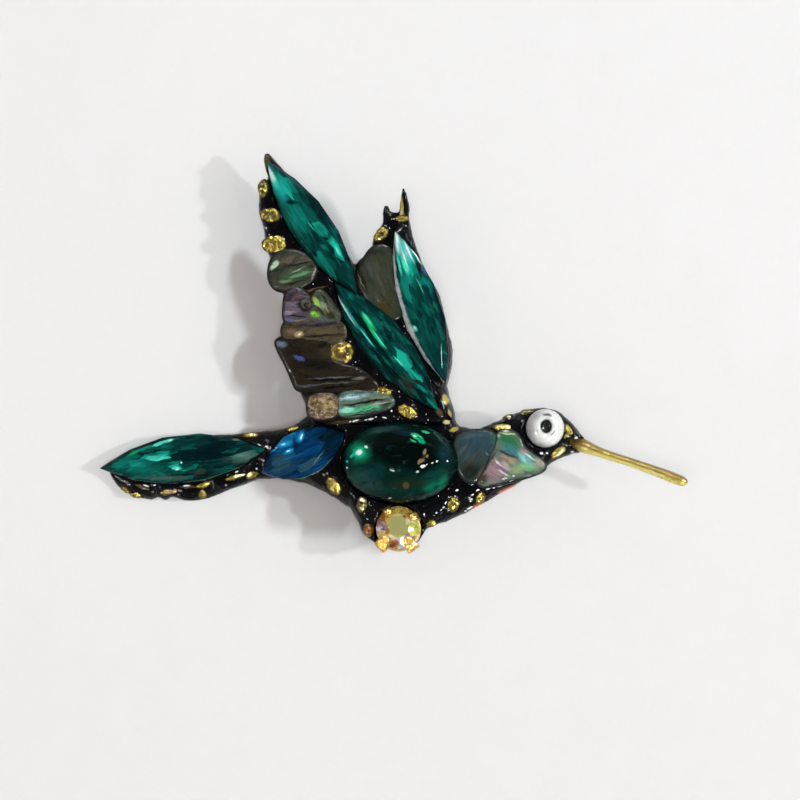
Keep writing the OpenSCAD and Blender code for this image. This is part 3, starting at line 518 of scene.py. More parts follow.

# What each cut stone shows, painted into its colour: the shards are the foil's bright and dark reflections,
# which the facets behind break up; the lines over them are painted highlights, glints and dark reflections.
# Each row of every table of strokes, here and below: colour, middle across and up in the plan, half
# length, half width, turn, softness and strength.
TAIL_SHARDS = [
    (NIGHT, -29.8, -15.7, 5.8, 2.0, 4, 0.6, 0.92), (POOL, -41.0, -18.3, 4.4, 1.5, -4, 0.5, 0.85),
    (SEA, -38.4, -16.8, 2.0, 0.7, 4, 0.5, 0.95), (MINT, -38.7, -16.8, 0.9, 0.4, 10, 0.5, 0.7),
    (TEAL, -42.2, -17.7, 1.6, 0.5, 8, 0.4, 0.7), (MIST, -37.6, -20.1, 3.6, 0.5, -1, 0.6, 0.45),
    (SEA, -35.4, -18.3, 1.6, 0.8, -20, 0.6, 0.85), (OLIVE, -32.0, -19.2, 1.4, 0.5, 8, 0.7, 0.45),
    (MIST, -24.4, -16.6, 2.6, 0.6, 12, 0.6, 0.5), (POOL, -27.6, -18.6, 2.6, 0.7, 14, 0.6, 0.6)]
TAIL_LINES = [
    (GRASS, -42.4, -16.0, 1.3, 0.28, 26, 0.6, 0.7), (TEAL, -40.7, -15.3, 1.5, 0.28, 22, 0.5, 0.9),
    (MINT, -38.2, -14.5, 1.4, 0.28, 20, 0.4, 1.0), (MINT, -36.9, -14.1, 1.0, 0.3, 14, 0.5, 1.0),
    (ICE, -36.6, -14.0, 0.36, 0.12, 14, 0.4, 0.9), (ICE, -34.6, -17.6, 0.16, 0.16, 0, 0.5, 1.0),
    (ICE, -35.3, -18.7, 0.32, 0.18, 10, 0.5, 1.0), (MINT, -35.4, -18.5, 0.8, 0.3, 0, 0.6, 0.8),
    (MIST, -25.8, -13.9, 0.7, 0.18, -4, 0.5, 0.9), (NIGHT, -39.4, -15.9, 2.4, 0.22, 12, 0.5, 0.8),
    (DEEP, -34.0, -14.6, 4.0, 0.7, 2, 0.6, 0.7)]
OUTER_SHARDS = [
    (SEA, -17.4, 26.4, 2.0, 1.3, -58, 0.7, 0.8), (TEAL, -15.4, 21.6, 3.4, 1.8, -58, 0.6, 0.7),
    (SEA, -11.6, 20.6, 1.5, 0.9, -50, 0.5, 0.6), (DEEP, -11.9, 17.8, 2.6, 0.5, -38, 0.4, 0.95),
    (TEAL, -10.8, 14.2, 2.4, 1.0, -54, 0.6, 0.6), (DEEP, -7.6, 11.8, 2.2, 1.6, -56, 0.6, 0.9),
    (NIGHT, -16.2, 24.5, 1.2, 0.4, -4, 0.4, 0.95), (DEEP, -14.6, 25.4, 1.3, 0.9, -60, 0.5, 0.9),
    (SEA, -8.9, 17.0, 1.3, 0.5, -60, 0.5, 0.9), (NIGHT, -10.0, 18.6, 1.3, 0.4, -40, 0.5, 0.8),
    (POOL, -13.6, 22.8, 1.2, 0.8, -60, 0.5, 0.6)]
OUTER_LINES = [
    (NIGHT, -9.5, 14.6, 2.2, 1.3, -56, 0.9, 0.25), (LAGOON, -18.4, 27.0, 3.0, 1.1, -60, 0.8, 0.85),
    (MINT, -19.4, 28.4, 2.0, 0.6, -62, 0.8, 0.9), (ICE, -19.7, 29.1, 1.5, 0.5, -62, 0.55, 1.0),
    (NIGHT, -16.2, 24.5, 1.2, 0.36, -4, 0.5, 0.8), (SEA, -8.9, 17.4, 1.9, 0.3, -62, 0.5, 0.8),
    (MINT, -8.7, 16.6, 0.9, 0.2, -62, 0.5, 0.8), (STEEL, -16.2, 28.2, 2.4, 0.3, -44, 0.6, 0.8),
    (NIGHT, -12.6, 24.0, 8.6, 0.42, -58, 0.7, 0.75), (DEEP, -15.2, 18.8, 5.6, 0.16, -60, 0.5, 0.6),
    (MINT, -13.0, 20.6, 0.9, 0.1, -52, 0.5, 0.5), (POOL, -11.6, 20.2, 1.0, 0.8, -40, 0.6, 0.7),
    (DEEP, -6.6, 11.4, 2.8, 1.6, -54, 0.7, 0.7)]
INNER_SHARDS = [
    (DEEP, -4.6, 7.4, 4.0, 1.6, -50, 0.5, 0.8), (DEEP, 0.9, 3.3, 3.4, 1.2, -50, 0.5, 0.85),
    (SEA, 1.9, -1.1, 1.7, 0.9, -45, 0.4, 0.9), (SEA, 3.8, -3.0, 1.4, 0.7, -42, 0.4, 0.9),
    (NIGHT, -0.6, -0.4, 2.8, 0.5, -50, 0.5, 0.85), (NIGHT, 4.6, -6.0, 3.0, 1.0, -48, 0.6, 0.85),
    (TEAL, 6.2, -7.4, 1.8, 0.4, -52, 0.5, 0.8), (DEEP, 3.4, 0.4, 2.2, 0.6, -50, 0.5, 0.7),
    (TEAL, -6.8, 9.2, 1.2, 0.6, -50, 0.6, 0.7), (NAVY, -5.0, 2.8, 4.6, 0.45, -54, 0.6, 0.8)]
INNER_LINES = [
    ((0.03, 0.03, 0.022), 2.7, -5.0, 2.0, 1.5, -54, 0.8, 0.6), (ICE, -7.5, 7.2, 2.9, 0.2, -58, 0.6, 1.0),
    (LAGOON, -6.5, 6.0, 2.8, 0.26, -57, 0.6, 0.85), (GRASS, -3.7, 5.2, 1.9, 0.5, -54, 0.6, 0.95),
    (MINT, -3.9, 5.6, 1.3, 0.16, -54, 0.6, 0.8), (GRASS, -2.5, 2.8, 2.3, 0.26, -54, 0.5, 0.95),
    (MINT, -1.9, 2.3, 1.9, 0.12, -54, 0.5, 0.95), (MINT, -3.9, 2.6, 1.9, 0.14, -52, 0.5, 0.9),
    (MINT, 1.2, -1.2, 1.2, 0.16, -46, 0.5, 0.8), (ICE, 0.9, 5.3, 0.2, 0.12, 0, 0.5, 0.8),
    (NIGHT, -4.8, 5.0, 3.6, 0.26, -56, 0.5, 0.85), (MINT, 6.4, -8.0, 0.9, 0.1, -52, 0.5, 0.7),
    (NIGHT, 3.4, 2.4, 6.0, 0.3, -50, 0.6, 0.7), (LAGOON, -4.6, 9.6, 0.9, 0.3, -50, 0.5, 0.6),
    (NIGHT, 6.2, -5.0, 2.6, 0.5, -50, 0.6, 0.8), (NIGHT, 5.6, -6.6, 3.4, 1.1, -50, 0.8, 0.75),
    (TEAL, 6.6, -8.2, 1.5, 0.22, -52, 0.5, 0.8), (TEAL, 5.0, -5.6, 1.2, 0.3, -40, 0.6, 0.8)]
FAR_SHARDS = [
    (SEA, 2.3, 14.8, 2.8, 1.3, -70, 0.6, 0.95), (TEAL, 2.6, 10.6, 2.4, 1.3, -68, 0.5, 0.85),
    (DEEP, 3.9, 9.6, 1.4, 0.5, -50, 0.5, 0.9), (LAGOON, 5.6, 11.4, 1.6, 0.7, -62, 0.6, 0.5),
    (POOL, 3.0, 6.6, 1.8, 1.0, -66, 0.5, 0.7), (DEEP, 5.8, 6.4, 2.6, 1.0, -66, 0.6, 0.8),
    (POOL, 5.8, 1.8, 2.4, 1.3, -66, 0.5, 0.7), (NIGHT, 4.4, 4.8, 1.7, 0.35, -42, 0.5, 0.9),
    (DEEP, 8.6, 0.4, 3.6, 1.0, -70, 0.6, 0.85), (DEEP, 6.4, 12.6, 2.6, 0.6, -60, 0.6, 0.7)]
FAR_LINES = [
    (LAGOON, 2.3, 16.4, 2.2, 1.3, -70, 0.7, 0.8), (ICE, 1.9, 17.0, 2.0, 0.9, -71, 0.8, 0.3),
    (ICE, 0.8, 18.2, 2.0, 0.5, -80, 0.7, 1.0), (ICE, 1.9, 16.0, 2.4, 0.16, -70, 0.6, 1.0),
    (ICE, 2.6, 16.8, 2.3, 0.14, -64, 0.6, 0.95), (ICE, 3.6, 16.2, 2.2, 0.12, -58, 0.6, 0.95),
    (MINT, 2.2, 14.2, 1.5, 0.34, -68, 0.6, 0.9), (MINT, 1.2, 14.4, 1.8, 0.25, -76, 0.6, 0.8),
    (VIOLET, 5.2, 13.4, 0.9, 0.3, -55, 0.7, 0.5), (MINT, 3.7, 4.1, 0.6, 0.4, -50, 0.6, 0.95),
    (ICE, 3.7, 4.2, 0.25, 0.16, -50, 0.5, 0.8), (NIGHT, 8.3, 5.0, 7.0, 0.4, -74, 0.6, 0.85),
    (MINT, 4.6, 11.0, 1.6, 0.1, -64, 0.5, 0.5), (NIGHT, 7.0, 13.0, 3.0, 0.25, -62, 0.6, 0.8),
    (LAGOON, 1.6, 17.4, 1.5, 0.6, -76, 0.7, 0.7), (DEEP, 6.6, 0.6, 3.6, 0.9, -60, 0.7, 0.85)]
BLUE_SHARDS = [
    (AZURE, -17.4, -14.5, 2.0, 1.0, 22, 0.7, 0.75), (ROYAL, -13.2, -15.6, 2.6, 1.4, 26, 0.6, 0.8),
    (STEEL, -18.0, -17.6, 3.2, 1.6, 16, 0.6, 0.95), (NAVY, -10.4, -13.6, 2.4, 1.4, 28, 0.6, 0.9),
    (NAVY, -21.0, -18.0, 1.4, 1.2, 24, 0.5, 0.8), (NIGHT, -10.2, -14.4, 2.0, 1.8, 30, 0.8, 0.7),
    (ROYAL, -12.6, -13.4, 1.6, 0.4, 30, 0.5, 0.8), (NAVY, -15.6, -16.2, 1.8, 0.4, 34, 0.6, 0.8),
    (STEEL, -13.4, -17.8, 2.2, 0.6, 30, 0.6, 0.9)]
BLUE_LINES = [
    (SKY, -18.0, -13.9, 1.4, 0.8, 14, 0.9, 0.4), (AZURE, -16.6, -13.6, 2.6, 0.9, 18, 0.8, 0.8),
    (SKY, -17.7, -14.6, 1.5, 0.5, 14, 0.8, 1.0), (ICE, -17.8, -14.6, 0.4, 0.14, 10, 0.4, 1.0),
    (SKY, -16.8, -15.7, 0.9, 0.34, 28, 0.7, 0.85), (ICE, -16.9, -15.7, 0.36, 0.12, 24, 0.35, 0.95),
    (ICE, -19.0, -15.2, 0.2, 0.1, 0, 0.4, 0.8), (SKY, -19.4, -15.6, 0.6, 0.2, 20, 0.5, 0.8),
    (SKY, -18.4, -13.9, 0.5, 0.16, 16, 0.4, 0.8), (SKY, -14.9, -13.4, 0.5, 0.95, -14, 0.8, 1.0),
    (ICE, -14.8, -13.4, 0.16, 0.5, -14, 0.4, 0.95), (SKY, -16.4, -12.9, 0.7, 0.3, 16, 0.7, 0.6),
    (AZURE, -16.0, -16.6, 2.2, 0.14, 18, 0.5, 0.5), (MIST, -12.0, -16.8, 1.6, 0.12, 52, 0.6, 0.6),
    (NIGHT, -15.9, -14.3, 0.3, 1.0, 10, 0.6, 0.7), (NIGHT, -10.4, -13.0, 2.6, 0.9, 12, 0.7, 0.75)]

# Rings of a long stone's crown: share across, share along and share of the crown's height.
CROWN = ((0.8, 0.965, 0.52), (0.5, 0.9, 1.0))
BACK = (0.72, 0.86)
# At a stone's tips its half width counts as at least this much.
TIP_WIDTH = 0.3


class Place:
    """The middle and axes of a node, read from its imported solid."""

    def __init__(self, node):
        self.points = np.unique(np.round(in_plan(coordinates(frame["nodes"][node].data)), 4), axis=0)
        self.spread = np.linalg.eigh(np.cov((self.points - self.points.mean(0)).T))[1]

    def settle(self, middle, along, up):
        """Sets the axes, centres the middle between them, and gives the points as they lie there."""
        self.middle = middle
        self.axes = np.array([along, np.cross(up, along), up])
        local = self.local(self.points)
        self.middle = self.middle + self.axes.T @ ((local.max(0) + local.min(0)) / 2 * (1, 1, 0))
        local = self.local(self.points)
        self.low, self.high = local[:, 2].min(), local[:, 2].max()
        return local

    def local(self, points):
        return (np.asarray(points) - self.middle) @ self.axes.T

    def placed(self, local):
        return np.asarray(local) @ self.axes + self.middle


class Cut(Place):
    """A long stone's place and outline, swelled a little."""

    def __init__(self, node, swell=1.0, slide=0.0, stretch=1.0):
        super().__init__(node)
        along, up = self.spread[:, 2], self.spread[:, 0]
        local = self.settle(self.points.mean(0), along * np.sign(along[0]), up * np.sign(up[2]))
        self.half_length, self.half_width = local[:, 0].max(), local[:, 1].max()
        widest = local[np.abs(local[:, 1]) > self.half_width - 0.01, 2]
        self.girdle = (widest.min(), widest.max())
        edge = local[(np.abs(local[:, 2] - self.girdle[0]) < 0.01) & (local[:, 1] >= -0.01)]
        self.edge = edge[np.argsort(edge[:, 0])] * (stretch, swell, 1.0)
        self.half_length *= stretch
        self.half_width *= swell
        self.middle = self.middle + self.axes[1] * slide

    def width_at(self, along):
        return np.interp(along, self.edge[:, 0], self.edge[:, 1])

    def ring(self, stations, across, along, height, shift=0.0):
        """Points round the outline, crowded towards the tips, drawn in by two shares."""
        turns = (np.arange(2 * stations) + shift) * math.pi / stations
        places = self.half_length * np.cos(turns)
        widths = self.width_at(places) * np.sign(np.sin(turns) + 1e-9)
        widths[np.abs(np.sin(turns)) < 1e-6] = 0.0
        return np.column_stack([places * along, widths * across, np.full(len(turns), height)])


def cut_faces(count):
    """Faces of a cut stone of five rings: back, girdle, belt of facets and table."""
    faces = [list(range(count))[::-1]]
    edge, belt, table = 2 * count, 3 * count, 4 * count
    for i in range(count):
        j = (i + 1) % count
        for low in (0, count):
            faces.append([low + i, low + j, low + count + j, low + count + i])
        faces += [[edge + i, edge + j, belt + i], [belt + i, edge + j, belt + j],
                  [belt + i, belt + j, table + j], [belt + i, table + j, table + i]]
    faces.append([table + i for i in range(count)])
    return faces


def cut_stone(node, name, stations, worn_edge, swell=1.0, slide=0.0, stretch=1.0):
    """A faceted long stone with a worn brilliant crown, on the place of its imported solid."""
    cut = Cut(node, swell, slide, stretch)
    crown = cut.high - cut.girdle[1]
    rings = [
        cut.ring(stations, BACK[0], BACK[1], cut.low), cut.ring(stations, 1, 1, cut.girdle[0]),
        cut.ring(stations, 1, 1, cut.girdle[1]),
        cut.ring(stations, CROWN[0][0], CROWN[0][1], cut.girdle[1] + CROWN[0][2] * crown, 0.5),
        cut.ring(stations, CROWN[1][0], CROWN[1][1], cut.girdle[1] + CROWN[1][2] * crown)]
    piece = from_faces(name, cut.placed(np.concatenate(rings)), cut_faces(2 * stations))
    worn(piece, worn_edge, 6)
    shade(piece, True)
    piece.data.set_sharp_from_angle(angle=math.radians(30))
    # How near each point is to the edge, and on which side.
    local = cut.local(in_plan(coordinates(piece.data)))
    keep(piece.data, "rim", local[:, 1] / np.maximum(cut.width_at(local[:, 0]), TIP_WIDTH))
    return piece


def foiled_glass(name, turn, seed, tones, shards, lines, rim=None):
    """Glass over foil: long straight-edged shards of tone, painted highlights and dark reflections placed as
    strokes, and a gloss coat.
    """
    f = Finish(name, specular_ior_level=0.035, ior=1.5, metallic=0.05)
    plan = f.plan()
    broad, tone = f.shards(f.shaken(plan, 2.0, 0.3), turn, (4.2, 1.0), 0.5, seed)
    fine, spark = f.shards(broad, turn + 14.0, (1.4, 0.5), 0.32, seed + 3.1)
    veil = f.noise(f.turned(plan, turn, (3.4, 0.7)), 1.0, 5.0, 0.6, 0.62)
    level = tone * 0.24 + spark * 0.12 + veil * 1.0 - 0.38
    ground = f.colours(level, tones)
    # The shards: painted bright and dark reflections of the foil.
    ground = f.painted(f.shaken(f.shaken(fine, 1.4, 0.4), 0.4, 0.12), ground, shards)
    ground = f.mix(f.step(spark + veil * 0.5, 1.05, 1.3, 0.5), ground, tones[-1][1])
    streak = f.noise(f.turned(f.shaken(plan, 3.0, 0.25), turn, (5.0, 0.42)), 1.0, 4.0, 0.3, 0.6)
    ground = f.mix(f.step(streak, 0.48, 0.3, 0.6), ground, tones[0][1])
    ground = f.mix(f.step(streak, 0.56, 0.74, 0.8), ground, f.mix(1.0, ground, (2.2, 1.9, 1.9), "MULTIPLY"))
    edge = f.step(f.kept("rim").math("ABSOLUTE"), 0.7, 0.97, 0.72) * f.step(veil, 0.7, 0.4)
    ground = f.mix(edge, ground, tones[0][1])
    # The lines: painted highlights, glints and dark reflections.
    ground = f.painted(f.shaken(plan, 0.7, 0.14), ground, lines)
    if rim is not None:
        ground = rim(f, ground, plan)
    height = tone * 0.6 + spark * 0.4
    dull = f.step(veil, 0.35, 0.75, 0.1) + 0.07
    return f.set(color=ground, roughness=dull, normal=f.bump(height, 0.05, 0.3))


def pale_lower_rim(f, ground, plan):
    """A thin pale line along the lower edge, broken by noise."""
    edge = f.step(f.kept("rim"), -0.93, -0.985, 0.8) * f.step(f.noise(plan, 2.2), 0.42, 0.6)
    return f.mix(edge, ground, MIST)


def silver_rim(f, ground, plan):
    """Bare foil that turns up over the edge next to the near wing."""
    side = f.kept("rim") + (f.noise(plan, 1.6) - 0.5) * 0.24
    worn = f.step(f.noise(plan, 0.9, 4.0), 0.25, 0.6)
    blue = f.mix(f.noise(plan, 2.6), SILVER, (0.36, 0.5, 0.58))
    return f.mix(f.step(side, -0.62, -0.76) * (0.55 + worn * 0.45), ground, blue)


GREEN_TONES = [(0.1, NIGHT), (0.3, DEEP), (0.55, POOL), (0.8, TEAL)]
BLUE_TONES = [(0.1, NAVY), (0.4, ROYAL), (0.7, AZURE)]
# Each long stone: node, name, turn, seed of its shards, how much wider it is than its solid, how far
# it slides sideways, how much longer it is, its strokes, and what its rim shows.
LONG_STONES = [
    ("tail_stone", "tail_emerald", 6.4, 1.0, 1.06, 0.0, 1.05, TAIL_SHARDS, TAIL_LINES, pale_lower_rim),
    ("near_wing_outer_stone", "near_wing_emerald", -56.0, 4.0, 1.08, 0.3, 1.0,
     OUTER_SHARDS, OUTER_LINES, None),
    ("near_wing_inner_stone", "near_wing_inner_emerald", -51.0, 7.0, 1.22, 0.35, 1.0,
     INNER_SHARDS, INNER_LINES, None),
    ("far_wing_stone", "far_wing_emerald", -71.4, 9.0, 1.05, 0.0, 1.0, FAR_SHARDS, FAR_LINES, silver_rim)]


class BROOCH_OT_long_stones(bpy.types.Operator):
    """Cut the four long emerald stones"""
    bl_idname = "brooch.long_stones"
    bl_label = "Long stones"

    def execute(self, context):
        stones = context.scene.brooch_stones
        tones = GREEN_TONES[:-1] + [(0.8, tuple(stones.emerald))]
        for node, name, turn, seed, swell, slide, stretch, shards, lines, rim in LONG_STONES:
            piece = cut_stone(node, name, stones.stations, stones.worn_edge, swell, slide, stretch)
            glass = foiled_glass(name, turn, seed, tones, shards, lines, rim)
            finished(piece, glass, "emerald_glass", node)
        return {"FINISHED"}


class BROOCH_OT_blue_stone(bpy.types.Operator):
    """Cut the small blue stone"""
    bl_idname = "brooch.blue_stone"
    bl_label = "Blue stone"

    def execute(self, context):
        stones = context.scene.brooch_stones
        tones = BLUE_TONES[:-1] + [(0.7, tuple(stones.sapphire))]
        piece = cut_stone("blue_stone", "sapphire", stones.stations, stones.worn_edge, 1.13, -0.15)
        glass = foiled_glass("sapphire", 25.5, 12.0, tones, BLUE_SHARDS, BLUE_LINES, pale_lower_rim)
        finished(piece, glass, "blue_glass", "blue_stone")
        return {"FINISHED"}


# How much stouter the far wing's spikes are than in the solid, from one height in the plan to another.
SPIKE_SWELL = 0.22
SPIKES_FROM = (22.2, 23.4)
# Gold and brown on the black itself, as for the stones: on the far spike, the tail's lower edge and
# the root of the far wing. Painted glints on the near wing's tip and edge, and a painted orange glow
# on the lower side of the neck.
STRAW = (0.48, 0.38, 0.08)
CREAM = (0.78, 0.66, 0.36)
ORANGE_GLOW = (0.85, 0.2, 0.05)
UMBER = (0.1, 0.065, 0.03)
SPARKLE = (0.86, 0.93, 0.96)
RESIN_STAINS_AND_PAINTED_LIGHT = [
    (STRAW, 1.55, 23.4, 0.34, 2.1, 2, 0.5, 0.95), (STRAW, 1.6, 21.9, 0.95, 0.4, -4, 0.4, 0.9),
    (CREAM, 1.5, 22.7, 0.2, 0.9, 4, 0.5, 0.9), (UMBER, 1.8, 22.1, 0.4, 0.2, 0, 0.5, 0.8),
    # Painted glints: brown-grey on the near wing's tip, violet on its edge.
    (UMBER, -20.7, 31.4, 0.8, 1.3, 20, 0.6, 0.9), (VIOLET, -14.2, 27.4, 0.3, 1.6, 40, 0.6, 0.8),
    # Painted orange glow on the lower side of the neck.
    (ORANGE_GLOW, 13.6, -24.9, 1.7, 0.6, 28, 0.6, 0.9), (ORANGE_GLOW, 18.3, -22.3, 2.2, 0.6, 28, 0.6, 0.95),
    (ORANGE_GLOW, 11.4, -26.0, 0.7, 0.3, 20, 0.6, 0.7), (UMBER, -33.6, -21.6, 1.6, 0.24, 2, 0.5, 0.7),
    (UMBER, -41.4, -21.6, 1.2, 0.3, -20, 0.5, 0.8), (CREAM, 8.7, -11.0, 0.55, 0.34, 10, 0.35, 0.9),
    (STRAW, 9.8, -12.2, 0.75, 0.4, 24, 0.4, 0.8), (STRAW, 11.1, -11.3, 0.6, 0.18, -30, 0.4, 0.9),
    (CREAM, 8.2, -4.0, 0.4, 0.6, 20, 0.4, 0.95), (STRAW, 8.5, -7.4, 0.42, 0.9, 14, 0.4, 0.95),
    (CREAM, 8.4, -7.8, 0.2, 0.36, 14, 0.4, 0.9), (UMBER, 7.6, -9.4, 0.9, 0.5, -50, 0.5, 0.9),
    (STRAW, 9.2, -9.6, 0.2, 0.7, 16, 0.4, 0.8), (UMBER, -18.9, 10.6, 0.5, 1.2, 30, 0.5, 0.9),
    (UMBER, -13.2, 10.3, 2.6, 0.24, 14, 0.5, 0.9), (STRAW, -11.7, 10.3, 0.5, 0.16, -20, 0.4, 0.9),
    (UMBER, -18.0, 9.0, 0.5, 1.0, 10, 0.5, 0.9), (UMBER, -7.6, -11.0, 3.0, 0.3, 6, 0.5, 0.6),
    (STRAW, -12.2, -9.9, 0.5, 0.2, 10, 0.4, 0.8), (STRAW, 16.6, -9.5, 0.9, 0.3, 24, 0.6, 0.6),
    (UMBER, 19.0, -13.0, 0.6, 0.4, 0, 0.6, 0.8), (UMBER, 9.6, -7.0, 0.3, 2.4, 12, 0.6, 0.7),
    (STRAW, 28.2, -13.0, 0.3, 0.8, -40, 0.5, 0.6)]
# Painted white glints where the wet-looking black sparkles: middle across and up, half length, half width
# and turn.
PAINTED_GLINTS = [
    (10.4, -22.0, 0.28, 0.16, 20), (10.1, -23.0, 0.14, 0.12, 0), (7.0, -25.7, 0.18, 0.12, 10),
    (7.8, -25.2, 0.2, 0.1, 40), (8.2, -24.8, 0.22, 0.12, 30), (10.6, -26.2, 0.2, 0.1, 10),
    (12.3, -24.9, 0.55, 0.14, 26), (11.6, -25.4, 0.2, 0.1, 10), (15.4, -21.8, 0.4, 0.12, 20),
    (16.3, -21.6, 0.2, 0.12, 0), (17.3, -21.3, 0.5, 0.13, 16), (19.1, -20.8, 0.3, 0.1, 24),
    (-6.9, -10.95, 0.2, 0.1, 30), (-6.0, -10.8, 0.6, 0.13, 14), (-4.3, -10.65, 0.26, 0.1, 24),
    (-3.5, -10.5, 0.5, 0.14, 14), (-2.7, -10.2, 0.16, 0.1, 0), (-1.3, -10.3, 0.4, 0.1, -14),
    (-0.1, -9.2, 0.14, 0.2, 0), (24.1, -16.0, 0.3, 0.2, 0), (24.95, -16.0, 0.2, 0.16, 0),
    (29.6, -13.7, 0.26, 0.3, 30), (28.9, -15.8, 0.26, 0.12, 0), (18.7, -10.3, 0.26, 0.24, 0),
    (3.8, -5.9, 0.2, 0.16, 0), (-28.3, -12.9, 0.26, 0.12, 0), (-40.7, -21.4, 0.5, 0.12, -14),
    (-39.3, -21.3, 0.24, 0.1, 0), (-34.0, -21.4, 0.6, 0.12, 4), (-36.0, -22.0, 0.3, 0.1, 0),
    (-25.7, -19.1, 0.3, 0.12, 20), (-22.4, -18.6, 0.16, 0.16, 0), (-7.6, -19.6, 0.14, 0.3, 10),
    (-16.4, 8.3, 0.1, 0.1, 0), (-9.2, 5.0, 0.12, 0.16, 0), (2.0, 8.0, 0.1, 0.2, 20),
    (9.4, -3.0, 0.1, 0.26, 14), (-3.5, 17.6, 0.12, 0.2, -30), (-20.6, 20.4, 0.1, 0.2, 0)]


class BROOCH_OT_resin_body(bpy.types.Operator):
    """Mould the black body with its lumps"""
    bl_idname = "brooch.resin_body"
    bl_label = "Resin body"

    def execute(self, context):
        resin = context.scene.brooch_resin
        piece = merged_copy("bird_base", "resin_body")
        softened(piece, resin.grain, 5)
        points = in_plan(coordinates(piece.data))
        lumps = rough(points, resin.lump_size / MM, 3.0)
        spikes = ramp(points[:, 1], *SPIKES_FROM) * (points[:, 0] > -6.0) * SPIKE_SWELL * MM
        push_out(piece, lumps * resin.lump_height + spikes)
        shade(piece, True)
        finished(piece, black_resin(tuple(resin.colour)), "black_resin", "bird_base")
        return {"FINISHED"}


def black_resin(colour):
    """Hand-smoothed gloss resin: small dimples, faint brown scuffs, pale specks and a wet coat, with stains,
    painted white glints and a painted orange glow.
    """
    f = Finish("black_resin", specular_ior_level=0.16, ior=1.5)
    solid = f.plan(flat=False)
    patch = f.noise(solid, 3.0, 4.0)
    ground = f.mix(f.step(patch, 0.55, 0.75, 0.5), colour, (0.012, 0.009, 0.007))
    specks = f.step(f.noise(solid, 0.5, 3.0), 0.68, 0.74, 0.8) * f.step(f.noise(solid, 4.0), 0.45, 0.6)
    ground = f.mix(specks, ground, UMBER)
    # Tiny pale specks, scattered by noise.
    pale_specks = f.step(f.noise(solid, 0.4, 2.0), 0.69, 0.73) * f.step(f.noise(solid, 3.0), 0.5, 0.6)
    ground = f.mix(pale_specks, ground, SPARKLE)
    ground = f.painted(f.shaken(f.shaken(f.plan(), 0.8, 0.22), 0.3, 0.08), ground, RESIN_STAINS_AND_PAINTED_LIGHT)
    # Painted white glints.
    ground = f.painted(f.shaken(f.plan(), 0.35, 0.09), ground, [
        (SPARKLE, *spot, 0.35, 1.0) for spot in PAINTED_GLINTS])
    dull = f.step(f.noise(solid, 1.1, 3.0), 0.4, 0.8, 0.12) + 0.05
    drops = f.noise(solid, 0.55, 1.0) * f.step(patch, 0.48, 0.6, 0.55) + f.noise(solid, 1.3, 1.0)
    return f.set(color=ground, roughness=dull, normal=f.bump(drops, 0.22, 0.7))


# Colours of the oval stone and its foil, and of the glow, highlights and reflections painted on it.
BLACK_GREEN = (0.0006, 0.0035, 0.003)
BOTTLE = (0.001, 0.016, 0.013)
FERN = (0.002, 0.045, 0.033)
GLOW = (0.004, 0.42, 0.2)
LEAF = (0.03, 0.6, 0.22)
WHITE = (0.95, 1.0, 0.97)
TAN = (0.24, 0.19, 0.085)
SLATE = (0.022, 0.065, 0.06)
SEA_GLOW = (0.01, 0.75, 0.5)
INK_BLUE = (0.004, 0.022, 0.034)
MOSS = (0.009, 0.018, 0.008)
MOSS_TAN = (0.085, 0.075, 0.03)
RUSSET = (0.1, 0.03, 0.01)
# The oval's ground: black in its middle, with a painted green glow towards its rim.
OVAL_STROKES = [
    (FERN, 1.2, -17.4, 9.0, 6.2, 0, 0.3, 0.6), (BOTTLE, 0.8, -16.8, 7.8, 5.0, 0, 0.4, 0.95),
    (BLACK_GREEN, 2.4, -15.2, 5.8, 3.4, 2, 0.35, 1.0), (BLACK_GREEN, -0.6, -14.4, 3.8, 1.9, 14, 0.4, 0.9),
    (BLACK_GREEN, 4.6, -17.0, 3.6, 2.4, -14, 0.4, 0.9), (GLOW, -5.3, -16.0, 1.9, 1.6, 0, 0.95, 0.8),
    (FERN, -4.4, -19.6, 3.4, 2.2, 20, 0.6, 0.9), (SLATE, -4.0, -20.8, 3.0, 1.5, -24, 0.7, 0.7),
    (FERN, 7.0, -20.6, 2.4, 2.1, 50, 0.6, 0.95), (GLOW, 8.2, -20.8, 0.6, 1.8, -30, 0.8, 0.3),
    (GLOW, 6.4, -21.4, 1.6, 0.6, 30, 0.9, 0.22), (MOSS, 2.8, -21.0, 3.2, 1.0, 4, 0.6, 0.8),
    (SLATE, 6.4, -22.7, 2.8, 0.5, 24, 0.5, 0.9), (SLATE, -1.4, -12.2, 3.2, 0.5, 8, 0.6, 0.9),
    (INK_BLUE, 2.2, -12.6, 2.6, 0.6, -10, 0.6, 0.8), (FERN, -4.2, -12.6, 1.6, 0.6, 30, 0.6, 0.7),
    (SLATE, 7.9, -13.8, 1.9, 0.22, -46, 0.5, 0.9), (INK_BLUE, 8.6, -16.0, 0.9, 1.8, 10, 0.7, 0.95),
    (INK_BLUE, -6.9, -16.8, 0.9, 1.8, 0, 0.7, 0.8), (SLATE, 0.3, -18.7, 0.5, 0.26, -30, 0.5, 0.9),
    (SLATE, 1.4, -18.9, 0.3, 0.2, 0, 0.5, 0.8), (INK_BLUE, -3.0, -19.2, 2.0, 1.6, 40, 0.7, 0.5)]
